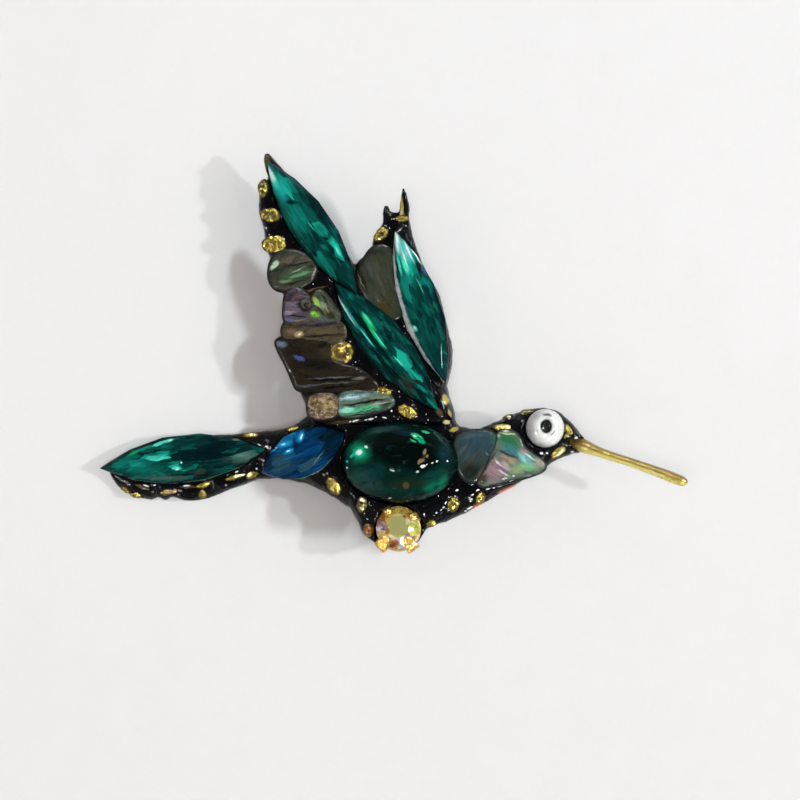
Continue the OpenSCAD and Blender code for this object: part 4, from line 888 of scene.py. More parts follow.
# Painted highlights, glints and reflections on the oval: white cores, green glows and tan flecks.
OVAL_LIGHTS = [
    (LEAF, 4.2, -13.3, 1.1, 0.42, -26, 0.4, 0.95), (GLOW, 4.9, -14.0, 0.8, 0.4, -36, 0.5, 0.9),
    (WHITE, 3.9, -13.2, 0.36, 0.12, -20, 0.5, 0.7), (LEAF, 5.5, -12.6, 0.7, 0.2, -18, 0.3, 0.85),
    (LEAF, 3.6, -14.0, 0.6, 0.14, -30, 0.4, 0.8), (BLACK_GREEN, 4.6, -13.6, 0.7, 0.1, -30, 0.4, 0.9),
    (SEA_GLOW, -5.2, -15.9, 1.0, 0.8, 20, 0.9, 0.9), (WHITE, -5.2, -15.9, 0.56, 0.46, 20, 0.5, 1.0),
    (WHITE, -4.0, -15.0, 0.3, 0.24, -30, 0.5, 0.95), (SEA_GLOW, -6.4, -16.4, 0.5, 0.25, 40, 0.6, 0.8),
    (SEA_GLOW, -7.2, -17.4, 0.24, 0.22, 0, 0.5, 0.9), (WHITE, -7.3, -18.4, 0.18, 0.2, 0, 0.5, 0.8),
    (TAN, 5.5, -15.9, 0.26, 0.6, -16, 0.35, 0.9), (TAN, 5.9, -16.5, 0.3, 0.24, 40, 0.35, 0.85),
    (TAN, 5.0, -17.2, 0.6, 0.34, 24, 0.35, 0.85), (RUSSET, 5.3, -16.8, 0.5, 0.16, 30, 0.4, 0.9),
    (WHITE, 5.3, -18.1, 0.5, 0.26, 14, 0.4, 0.95), (WHITE, 4.4, -19.0, 0.28, 0.16, 10, 0.4, 0.6),
    (WHITE, 6.7, -17.6, 0.24, 0.12, 30, 0.4, 0.8), (WHITE, 7.5, -17.3, 0.2, 0.14, 30, 0.4, 0.9),
    (MOSS_TAN, 2.5, -21.2, 0.6, 0.6, 0, 0.5, 0.7), (WHITE, -0.3, -23.3, 0.3, 0.09, 8, 0.5, 0.7),
    (WHITE, 0.3, -18.75, 0.45, 0.16, -16, 0.5, 0.6),
    (BLACK_GREEN, 5.45, -16.35, 0.34, 0.14, -30, 0.5, 0.85), (WHITE, 5.9, -17.8, 0.2, 0.1, 20, 0.4, 0.8),
    (TAN, 4.6, -17.6, 0.3, 0.16, 50, 0.4, 0.8), (SLATE, 6.6, -12.4, 1.2, 0.16, -24, 0.5, 0.7)]
OVAL_STEPS = (24, 96)


class BROOCH_OT_oval_stone(bpy.types.Operator):
    """Polish the domed oval stone"""
    bl_idname = "brooch.oval_stone"
    bl_label = "Oval stone"

    def execute(self, context):
        solid = in_plan(coordinates(frame["nodes"]["oval_stone"].data))
        low, high = solid.min(0), solid.max(0)
        middle = (low + high) / 2 + (0.3, 0.35, 0.0)
        half = (high - low) / 2 * (1.035, 1.03, 1.0)
        rings, sides = OVAL_STEPS
        wall = low[2] + 0.24 * (high[2] - low[2])
        rows = [(0.94, low[2]), (1.0, low[2] + 0.2), (1.0, wall)]
        for step in range(1, rings):
            rise = math.radians(90.0 * step / rings)
            rows.append((math.cos(rise) ** 0.94, wall + (high[2] - wall) * math.sin(rise)))
        turns = np.arange(sides) * 2 * math.pi / sides
        points = [np.column_stack([middle[0] + half[0] * share * np.cos(turns),
                                   middle[1] + half[1] * share * np.sin(turns), np.full(sides, height)])
                  for share, height in rows]
        points.append([[middle[0], middle[1], high[2]]])
        faces = tube_faces(len(rows), sides, cap="point")
        piece = from_faces("oval_cabochon", np.concatenate(points), faces)
        shade(piece, True)
        finished(piece, dark_dome(), "green_glass", "oval_stone")
        return {"FINISHED"}


def tube_faces(rings, sides, cap="flat"):
    """Faces of rings joined one to the next, closed by a flat start and a flat or pointed end."""
    faces = [list(range(sides))[::-1]]
    for ring in range(rings - 1):
        for i in range(sides):
            j, low, high = (i + 1) % sides, ring * sides, (ring + 1) * sides
            faces.append([low + i, low + j, high + j, high + i])
    last = (rings - 1) * sides
    if cap == "point":
        faces += [[last + i, last + (i + 1) % sides, rings * sides] for i in range(sides)]
    else:
        faces.append([last + i for i in range(sides)])
    return faces


def dark_dome():
    """A deep green dome over black, with a painted glow along its rim and painted highlights and
    reflections.
    """
    f = Finish("oval_cabochon", roughness=0.05, specular_ior_level=0.08, ior=1.5)
    plan = f.plan()
    drift = f.shaken(plan, 3.0, 0.5)
    ground = f.painted(drift, BLACK_GREEN, OVAL_STROKES)
    cloud = f.noise(f.turned(plan, 10.0, (2.0, 1.0)), 1.2, 5.0, 0.6, 0.6)
    ground = f.layered(ground, (cloud, 0.5, 0.7, 0.6, BLACK_GREEN), (cloud, 0.44, 0.28, 0.45, SLATE))
    ground = f.painted(f.shaken(f.shaken(plan, 0.8, 0.2), 0.35, 0.1), ground, OVAL_LIGHTS)
    return f.set(color=ground)


# Colours of the round stone's facets, and of the highlights and glints painted on them.
GILT = (0.78, 0.5, 0.05)
AMBER = (0.5, 0.17, 0.02)
BARK = (0.16, 0.05, 0.015)
ROSE = (0.42, 0.22, 0.25)
LILAC = (0.66, 0.64, 0.82)
PEARL = (0.86, 0.8, 0.6)
LIME = (0.5, 0.6, 0.08)
CORN = (0.8, 0.66, 0.14)
MAUVE_ROSE = (0.34, 0.22, 0.3)
HONEY = (1.0, 0.87, 0.5)
TABLE_GREEN = (0.52, 0.5, 0.19)
# The way that a facet faces, in degrees from +X, and its colour.
FACET_COLOURS = [
    (8, LIME), (30, PEARL), (52, GILT), (74, GILT), (98, CORN), (120, GILT), (142, AMBER),
    (164, ROSE), (186, MAUVE_ROSE), (204, PEARL), (220, GILT), (240, AMBER), (262, AMBER),
    (280, LILAC), (300, LILAC), (318, ROSE), (336, CORN), (352, LIME)]
# Strokes on its ring of facets, and on the edge of its table; the PEARL ones are painted highlights.
RING_STROKES = [
    (LIME, 3.6, -28.5, 0.7, 0.6, -50, 0.5, 0.8), (LILAC, -2.3, -28.3, 0.5, 0.4, 20, 0.5, 0.9),
    (CORN, -0.8, -25.8, 0.8, 0.5, 40, 0.5, 0.9), (LILAC, 1.6, -30.6, 0.6, 0.8, 0, 0.4, 0.9),
    (BARK, 0.0, -30.9, 0.7, 0.4, 20, 0.5, 0.9), (PEARL, 3.2, -28.2, 0.4, 0.3, -30, 0.5, 0.9),
    (PEARL, 0.4, -29.8, 0.7, 0.22, 10, 0.5, 0.9), (AMBER, -1.6, -26.4, 0.5, 0.7, 20, 0.5, 0.8),
    (PEARL, 3.5, -25.6, 0.7, 0.5, 20, 0.5, 0.9), (CORN, 0.9, -24.7, 0.8, 0.3, 0, 0.4, 0.9),
    (ROSE, -2.1, -27.4, 0.5, 0.6, 0, 0.5, 0.8), (GILT, -1.9, -29.1, 0.6, 0.5, 20, 0.4, 0.85)]
TABLE_STROKES = [
    (GILT, -0.9, -26.8, 0.4, 0.6, 30, 0.4, 0.95), (CORN, 0.5, -26.0, 1.0, 0.24, 6, 0.4, 0.95),
    (PEARL, 2.4, -27.2, 0.24, 0.5, 10, 0.4, 0.9), (LIME, 2.3, -28.5, 0.3, 0.5, -30, 0.4, 0.9),
    (PEARL, -0.1, -29.4, 0.8, 0.26, -14, 0.4, 0.95), (AMBER, -0.8, -28.8, 0.5, 0.35, 40, 0.4, 0.9),
    (ROSE, -1.0, -27.9, 0.36, 0.5, 0, 0.4, 0.9), (BARK, 1.9, -26.3, 0.3, 0.16, -40, 0.4, 0.8),
    (CORN, 1.3, -29.5, 0.6, 0.24, 20, 0.4, 0.9), (BARK, -0.7, -28.3, 0.16, 0.2, 0, 0.4, 0.8),
    (PEARL, -0.5, -28.0, 0.14, 0.1, 0, 0.4, 0.9), (CORN, 0.6, -29.2, 0.3, 0.14, 0, 0.4, 0.9)]
# Middle and radius of its table in the plan.
ROUND_TABLE = ((0.85, -27.6), 1.85)
ROUND_SIDES = 16
# Height of its table over the foot of its girdle.
ROUND_CROWN = 1.6
ROUND_SWELL = 1.1
ROUND_SHIFT = (-0.12, 0.32, 0.0)
# Each claw of the cup: the way that it faces, in degrees, and how much broader it is than the least.
CLAWS = ((32.0, 1.0), (122.0, 1.0), (229.0, 1.4), (306.0, 1.4))


# The claw from its root to its tip: distance from the cup's wall, share of the reach of a broad claw,
# height over the girdle, half width and half thickness.
CLAW_STATIONS = [
    (-0.05, 0.0, -1.0, 0.66, 0.12), (0.16, 0.6, -0.4, 0.76, 0.2), (0.16, 1.0, 0.35, 0.8, 0.26),
    (-0.1, 0.9, 0.95, 0.76, 0.28), (-0.7, 0.4, 1.28, 0.64, 0.26), (-1.28, 0.0, 1.48, 0.4, 0.16)]
CLAW_SIDES = 12


class Seat(Place):
    """The axis and radius of the round stone or its cup."""

    def __init__(self, node):
        super().__init__(node)
        up = self.spread[:, 0] * np.sign(self.spread[2, 0])
        along = np.cross((0.0, 1.0, 0.0), up)
        middle = (self.points.min(0) + self.points.max(0)) / 2
        local = self.settle(middle, along / np.linalg.norm(along), up)
        self.radius = np.hypot(local[:, 0], local[:, 1]).max()
        self.middle = self.middle + ROUND_SHIFT


def ring_of(radius, height, sides, shift=0.0):
    turns = (np.arange(sides) + shift) * 2 * math.pi / sides
    return np.column_stack([radius * np.cos(turns), radius * np.sin(turns), np.full(sides, height)])


def nearest_colour(turn):
    return min(FACET_COLOURS, key=lambda item: abs((item[0] - turn + 180) % 360 - 180))[1]


class BROOCH_OT_round_stone(bpy.types.Operator):
    """Cut the round stone and bend the claws of its cup"""
    bl_idname = "brooch.round_stone"
    bl_label = "Round stone"

    def execute(self, context):
        citron = tuple(context.scene.brooch_stones.citron)
        seat = Seat("round_stone")
        self.stone(seat, citron)
        self.cup(Seat("round_stone_cup"), seat, context)
        return {"FINISHED"}

    def stone(self, seat, citron):
        girdle = seat.high - ROUND_CROWN
        sides, r = ROUND_SIDES, seat.radius * ROUND_SWELL
        rings = [
            ring_of(r * 0.35, seat.low, sides), ring_of(r, girdle, sides), ring_of(r, girdle + 0.35, sides),
            ring_of(r * 0.79, girdle + 1.0, sides, 0.5), ring_of(r * 0.55, seat.high, sides)]
        piece = from_faces("citron_stone", seat.placed(np.concatenate(rings)), cut_faces(sides))
        worn(piece, 0.03 * MM, 5)
        self.colour(piece, seat, citron)
        finished(piece, rainbow_glass(), "yellow_glass", "round_stone")

    def colour(self, piece, seat, citron):
        """Each facet has the colour of the way that it faces; facets further out are darker by turns."""
        mesh = piece.data
        shades = np.ones((len(mesh.polygons), 4), np.float32)
        for n, face in enumerate(mesh.polygons):
            centre = seat.local(in_plan([face.center]))[0]
            facing = seat.axes @ (PLAN_ARRAY[:3, :3] @ np.array(face.normal) * MM)
            turn = math.degrees(math.atan2(centre[1], centre[0])) % 360
            flicker = 0.72 + 0.4 * ((n * 7) % 5) / 4
            colour = citron if facing[2] > 0.97 else tuple(c * flicker for c in nearest_colour(turn))
            shades[n, :3] = colour
        mesh.attributes.new("facet", "FLOAT_COLOR", "FACE").data.foreach_set("color", shades.ravel())

    def cup(self, cup, seat, context):
        red, green, blue = context.scene.brooch_gold.metal
        gold = polished_gold("cup_gold", (red * 1.25, green * 1.12, blue * 1.9))
        girdle = cup.local(seat.placed([[0, 0, seat.high - ROUND_CROWN]]))[0][2]
        outer = cup.radius - 0.4
        sides = 96
        turns = np.arange(sides) * 360.0 / sides
        dip = 0.5 - 0.5 * np.cos(np.radians((turns - CLAWS[0][0]) * 4))
        rim = girdle + 0.05 - 0.5 * dip
        inner = outer - 0.38
        # The wall's section: radius, height, and whether the height counts from the rim.
        profile = [
            (outer - 0.35, cup.low, 0), (outer, cup.low + 0.35, 0), (outer + 0.02, 0, 1),
            (outer - 0.12, 0.09, 1), (inner, 0.02, 1), (inner - 0.1, girdle - 0.35, 0),
            (seat.radius * 0.4, cup.low + 0.45, 0)]
        rings = []
        for radius, height, follows in profile:
            ring = ring_of(radius, height, sides)
            if follows:
                ring[:, 2] = rim + height
            rings.append(ring)
        walls = from_faces("cup_wall", cup.placed(np.concatenate(rings)), tube_faces(len(rings), sides))
        shade(walls, True)
        parts = [walls]
        for turn, broad in CLAWS:
            parts.append(self.claw(cup, turn, broad, outer, girdle))
        joined = join(parts, "claw_cup")
        finished(joined, gold, "gold_metal", "round_stone_cup")

    def claw(self, cup, turn, broad, outer, girdle):
        """A tapered claw up the cup's wall and over the stone's edge, with a rounded tip."""
        reach = 1.9 * (broad - 1.0)
        path = [(outer + away + reach * share, girdle + height, half * broad, depth)
                for away, share, height, half, depth in CLAW_STATIONS]
        rings = []
        for n, (radius, height, half, depth) in enumerate(path):
            before, after = path[max(n - 1, 0)], path[min(n + 1, len(path) - 1)]
            way = np.array([after[0] - before[0], after[1] - before[1]])
            way /= np.linalg.norm(way)
            out = np.array([way[1], -way[0]])
            ring = []
            for k in range(CLAW_SIDES):
                a = 2 * math.pi * k / CLAW_SIDES
                side = half * np.sign(math.cos(a)) * abs(math.cos(a)) ** 0.7
                lift = depth * np.sign(math.sin(a)) * abs(math.sin(a)) ** 0.7
                ring.append([radius + out[0] * lift, side, height + out[1] * lift])
            rings.append(ring)
        points = np.concatenate(rings)
        a = math.radians(turn)
        spin = np.array([[math.cos(a), -math.sin(a), 0], [math.sin(a), math.cos(a), 0], [0, 0, 1]])
        piece = from_faces("claw", cup.placed(points @ spin.T), tube_faces(len(path), CLAW_SIDES))
        modified(piece, "SUBSURF", levels=3, render_levels=3)
        push_out(piece, rough(in_plan(coordinates(piece.data)), 0.9, turn) * 0.16 * MM)
        shade(piece, True)
        return piece


def join(parts, name):
    """Makes several pieces one piece."""
    shape = bmesh.new()
    for part in parts:
        shape.from_mesh(part.data)
        bpy.data.objects.remove(part)
    mesh = bpy.data.meshes.new(name)
    shape.to_mesh(mesh)
    shape.free()
    return new_piece(name, mesh)


def rainbow_glass():
    """Coated glass: each facet has its own colour, broken up by what lies behind it, with painted glints and
    highlights.
    """
    f = Finish("citron_stone", roughness=0.14, metallic=0.35, coat_weight=0.5, coat_roughness=0.02, ior=1.5)
    plan = f.plan()
    facet = f.add("ShaderNodeAttribute", {"attribute_name": "facet"}, output="Color")
    _, tone = f.shards(plan, 30.0, (1.1, 0.6), 0.8, 5.0)
    ragged = f.shaken(f.shaken(plan, 0.9, 0.3), 0.3, 0.12)
    ground = f.mix(f.step(tone, 0.55, 0.95, 0.5), facet, PEARL, "MULTIPLY")
    ground = f.mix(f.step(tone, 0.3, 0.1, 0.45), ground, AMBER, "MULTIPLY")
    sparks = f.noise(plan, 0.42, 4.0, 0.0, 0.7)
    off_table = f.step(distance(f, ragged, *ROUND_TABLE), 0.9, 1.05)
    ground = f.mix(off_table, TABLE_GREEN, ground)
    # Painted glints in honey where the sparks are high, and dark brown specks where they are low.
    ground = f.mix(f.step(sparks, 0.54, 0.62, 0.9) * off_table, ground, HONEY)
    ground = f.mix(f.step(sparks, 0.44, 0.36, 0.9) * off_table, ground, (0.24, 0.1, 0.02))
    tints = f.noise(plan, 0.55, 2.0, 0.0, 0.6)
    ground = f.mix(f.step(tints, 0.58, 0.66, 0.7) * off_table, ground, (0.7, 0.72, 0.1))
    ground = f.mix(f.step(tints, 0.4, 0.33, 0.6) * off_table, ground, (0.6, 0.4, 0.5))
    ground = f.painted(f.shaken(plan, 0.5, 0.12), ground, RING_STROKES)
    ground = f.painted(ragged, ground, TABLE_STROKES)
    return f.set(color=ground)


def distance(f, plan, middle, radius):
    """How far a place of the plan is from a middle, in shares of a radius."""
    return f.vectors("DISTANCE", plan, (*middle, 0.0), "Value") * (1.0 / radius)


def polished_gold(name, colour):
    """Bright brass with darker and paler patches, fine scratches and small dents."""
    f = Finish(name, metallic=0.85, ior=1.5)
    solid = f.plan(flat=False)
    patch = f.noise(solid, 1.3, 4.0)
    ground = f.layered(
        colour, (patch, 0.45, 0.7, 0.75, (0.3, 0.18, 0.045)),
        (f.noise(solid, 0.7, 3.0), 0.54, 0.7, 0.8, (0.95, 0.8, 0.45)))
    dull = f.step(patch, 0.3, 0.8, 0.2) + 0.2
    return f.set(color=ground, roughness=dull, normal=f.bump(f.noise(solid, 0.7, 3.0), 0.3, 0.9))


# The bead's outline: share of its radius and share of its half height, from the hole's foot to its back.
BEAD_RINGS = [
    (0.27, -0.2), (0.265, 0.3), (0.27, 0.62), (0.29, 0.76), (0.33, 0.85), (0.4, 0.9), (0.52, 0.88),
    (0.64, 0.81), (0.76, 0.69), (0.86, 0.54), (0.94, 0.35), (0.985, 0.15), (1.0, -0.05),
    (0.98, -0.25), (0.9, -0.5), (0.74, -0.75), (0.5, -0.92), (0.27, -0.97)]
BEAD_SIDES = 72
BEAD_OFFSET = (0.3, 0.32)
GLAZE = (0.74, 0.76, 0.73)
MAUVE = (0.36, 0.34, 0.37)
BEAD_BLACK = (0.01, 0.01, 0.01)


class BROOCH_OT_eye(bpy.types.Operator):
    """Turn the glazed bead and fill its hole"""
    bl_idname = "brooch.eye"
    bl_label = "Eye"

    def execute(self, context):
        solid = in_plan(coordinates(frame["nodes"]["eye_bead"].data))
        low, high = solid.min(0), solid.max(0)
        middle, half = (low + high) / 2 + (0.25, 0.06, 0.0), (high - low) / 2
        rings = []
        for share, height in BEAD_RINGS:
            ring = ring_of(half[0] * share, half[2] * height, BEAD_SIDES)
            near_hole = ramp(np.array([share]), 0.9, 0.3)[0]
            stretch = 1.0 + 0.22 * near_hole
            ring[:, 1] *= stretch
            ring[:, :2] += np.array(BEAD_OFFSET) * near_hole
            ring[:, 0] += 0.05 * ring[:, 1] * near_hole
            rings.append(ring + middle)
        piece = from_faces("glazed_bead", np.concatenate(rings), tube_faces(len(rings), BEAD_SIDES))
        shade(piece, True)
        push_out(piece, rough(in_plan(coordinates(piece.data)), 2.2, 8.0) * 0.05 * MM)
        finished(piece, bead_glaze(middle), "white_bead", "eye_bead")
        hole = half[0] * 0.29
        domed = [(0.9, -0.2), (1.0, 0.0), (1.0, 0.42), (0.9, 0.52), (0.6, 0.58), (0.25, 0.6)]
        rings = []
        for share, height in domed:
            ring = ring_of(hole * share, half[2] * height, BEAD_SIDES)
            ring[:, 1] *= 1.2
            ring[:, :2] += np.array(BEAD_OFFSET)
            rings.append(ring + middle)
        pupil = from_faces("eye_filling", np.concatenate(rings), tube_faces(len(rings), BEAD_SIDES))
        shade(pupil, True)
        finished(pupil, dark_filling(), "black_resin", "eye_pupil")
        return {"FINISHED"}


def bead_glaze(middle):
    """Off-white glaze with painted shade greying it towards the tail and a painted highlight on its lower
    right, with a slit, a thin dark line and painted shade at the lip of the hole.
    """
    f = Finish("glazed_bead", coat_weight=0.6, coat_roughness=0.08, ior=1.5)
    plan = f.plan()
    x, y = middle[0], middle[1]
    # Painted shade in mauve on the left, upper left and lower sides, and painted light on the lower right.
    ground = f.painted(f.shaken(plan, 1.6, 0.3), GLAZE, [
        (MAUVE, x - 2.7, y - 0.6, 1.6, 2.8, 14, 0.9, 0.95),
        (MAUVE, x - 1.6, y + 2.3, 1.7, 0.8, 34, 0.8, 0.6),
        (MAUVE, x - 0.6, y - 2.8, 1.8, 0.6, 0, 0.8, 0.6),
        ((0.9, 0.92, 0.88), x + 1.2, y - 1.4, 1.6, 1.2, 0, 0.8, 0.6)])
    ground = f.mix(f.step(f.noise(plan, 0.9, 5.0), 0.55, 0.75, 0.35), ground, (0.5, 0.48, 0.44))
    # A dark slit, a brown mark and a thin dark line, and painted shade at the lip of the hole.
    ground = f.painted(f.shaken(plan, 0.4, 0.05), ground, [
        (BEAD_BLACK, x + 0.45, y + 2.2, 0.75, 0.26, -2, 0.5, 0.95),
        ((0.2, 0.1, 0.04), x + 1.0, y + 2.05, 0.3, 0.14, -20, 0.5, 0.9),
        ((0.12, 0.11, 0.08), x + 1.45, y - 0.75, 0.1, 0.7, -40, 0.5, 0.85),
        (BEAD_BLACK, x + BEAD_OFFSET[0], y + BEAD_OFFSET[1], 0.98, 1.16, 8, 0.18, 1.0)])
    dull = f.step(f.noise(plan, 0.8, 3.0), 0.3, 0.8, 0.2) + 0.22
    return f.set(color=ground, roughness=dull, normal=f.bump(f.noise(plan, 0.9, 3.0), 0.05, 0.5))


def dark_filling():
    f = Finish("eye_filling", coat_weight=1.0, coat_roughness=0.05, ior=1.5)
    solid = f.plan(flat=False)
    specks = f.step(f.noise(solid, 0.5, 3.0), 0.5, 0.7, 0.5)
    ground = f.mix(specks, (0.004, 0.006, 0.007), (0.03, 0.04, 0.035))
    return f.set(color=ground, roughness=0.2, normal=f.bump(f.noise(solid, 0.5), 0.04, 0.5))


# The beak's middle line: shares of its length ahead and upward of its start, and its width in shares.
BEAK_START = (30.22, -14.6, 2.1)
BEAK_LENGTH = 17.25
BEAK_ROOT_DROP = 9.0
BEAK_STATIONS = [
    (-0.08, 0.025, 1.2), (-0.01, 0.0, 1.5), (0.06, -0.026, 1.42), (0.13, -0.055, 1.18), (0.2, -0.08, 1.04),
    (0.32, -0.12, 0.98), (0.46, -0.164, 0.95), (0.6, -0.212, 1.02), (0.74, -0.262, 1.1),
    (0.87, -0.312, 1.16), (0.94, -0.338, 1.12), (0.978, -0.352, 0.86), (0.996, -0.359, 0.5),
    (1.0, -0.362, 0.12)]


class BROOCH_OT_beak(bpy.types.Operator):
    """Draw the grooved beak along its curve"""
    bl_idname = "brooch.beak"
    bl_label = "Beak"

    def execute(self, context):
        x, y, z = BEAK_START
        line = [(x + BEAK_LENGTH * ahead, y + BEAK_LENGTH * up, z - BEAK_ROOT_DROP * max(0.08 - ahead, 0.0))
                for ahead, up, width in BEAK_STATIONS]
        mesh = bpy.data.meshes.new("hooked_beak")
        mesh.from_pydata([tuple(p) for p in in_row(line)], [(i, i + 1) for i in range(len(line) - 1)], [])
        keep(mesh, "girth", [width for ahead, up, width in BEAK_STATIONS])
        piece = new_piece("hooked_beak", mesh)
        colour = tuple(context.scene.brooch_gold.metal)
        gold = beak_gold(colour)
        piece = beak_sweep(piece, {"Half Width": 0.74 * MM, "Groove": 0.26, "Hammering": 0.07 * MM}, gold)
        recalculate(piece.data)
        shade(piece, True)
        finished(piece, gold, "gold_metal", "beak")
        return {"FINISHED"}


def beak_sweep(piece, sizes, finish):
    """A round bar with a groove along its top, swept along the line with its girths."""
    g = Growth("beak_sweep", sizes)
    line = g.add("GeometryNodeMeshToCurve", None, {0: g.base})
    line = g.add("GeometryNodeCurveSplineType", {"spline_type": "CATMULL_ROM"}, {0: line})
    line = g.add("GeometryNodeResampleCurve", None, {"Curve": line, "Count": 130})
    girth = g.read("girth")
    line = g.add("GeometryNodeSetCurveNormal", {"mode": "Z_UP"}, {0: line})
    line = g.note(line, "reach", g.add("GeometryNodeSplineParameter"))
    ring = g.add("GeometryNodeCurvePrimitiveCircle", None, {"Resolution": 48, "Radius": 1.0})
    side = g.add("ShaderNodeSeparateXYZ", None, {0: g.add("GeometryNodeInputPosition")})
    height = side.beside("Y")
    ring = g.note(g.note(ring, "side", side), "top", height)
    off_middle = side + 0.12
    hollow = g.step(off_middle.math("ABSOLUTE"), 0.42, 0.0)
    above = height.math("GREATER_THAN", 0.0)
    sink = hollow * above * g.size("Groove") * -1.0
    ring = g.add("GeometryNodeSetPosition", None, {
        0: ring, "Offset": g.add("ShaderNodeCombineXYZ", None, {"Y": sink})})
    shape = g.add("GeometryNodeCurveToMesh", None, {
        0: line, "Profile Curve": ring, "Scale": girth * g.size("Half Width"), "Fill Caps": True})
    dents = g.add("ShaderNodeTexNoise", None, {"Scale": 1.0 / (1.6 * MM), "Detail": 2.0}, "Fac")
    return g.grown(piece, g.pushed(shape, (dents - 0.5) * g.size("Hammering")), finish)


def beak_gold(colour):
    """Worn brass with brown patches and speckles near the tip; painted shade in the groove, at the root and
    along its upper side, and painted light along its lower side.
    """
    f = Finish("hooked_beak", metallic=0.4, ior=1.5)
    solid = f.plan(flat=False)
    side, top, reach = f.kept("side"), f.kept("top"), f.kept("reach")
    long_grain = f.turned(f.plan(), -21.0, (4.0, 0.35))
    patch = f.noise(long_grain, 1.0, 4.0, 0.4)
    ground = f.mix(1.0, colour, (0.8, 0.85, 0.8), "MULTIPLY")
    # Brown patches, then painted shade along the upper side and painted light along the lower side.
    ground = f.layered(
        ground, (patch, 0.42, 0.56, 0.9, (0.12, 0.085, 0.012)), (side, 0.1, -0.5, 0.85, (0.28, 0.19, 0.045)),
        (side + (patch - 0.5) * 0.5, 0.0, 0.6, 0.95, (0.85, 0.74, 0.22)))
    # Painted shade along the groove.
    wander = side + 0.05 + (f.noise(solid, 2.2) - 0.5) * 0.5
    line = f.step(wander.math("ABSOLUTE"), 0.42, 0.08, 0.9) * f.step(top, 0.0, 0.3)
    ground = f.mix(line, ground, (0.12, 0.055, 0.006))
    speckle = f.step(f.noise(solid, 0.45, 4.0), 0.5, 0.66, 0.8) * f.step(reach, 0.7, 0.85)
    ground = f.mix(speckle, ground, (0.35, 0.16, 0.02))
    # Painted shade at the root, where the beak goes into the head.
    ground = f.mix(f.step(reach, 0.2, 0.06, 0.75), ground, (0.2, 0.1, 0.02))
    dull = f.step(patch, 0.3, 0.8, 0.2) + 0.24
    return f.set(color=ground, roughness=dull, normal=f.bump(f.noise(solid, 0.5, 3.0), 0.15, 0.8))
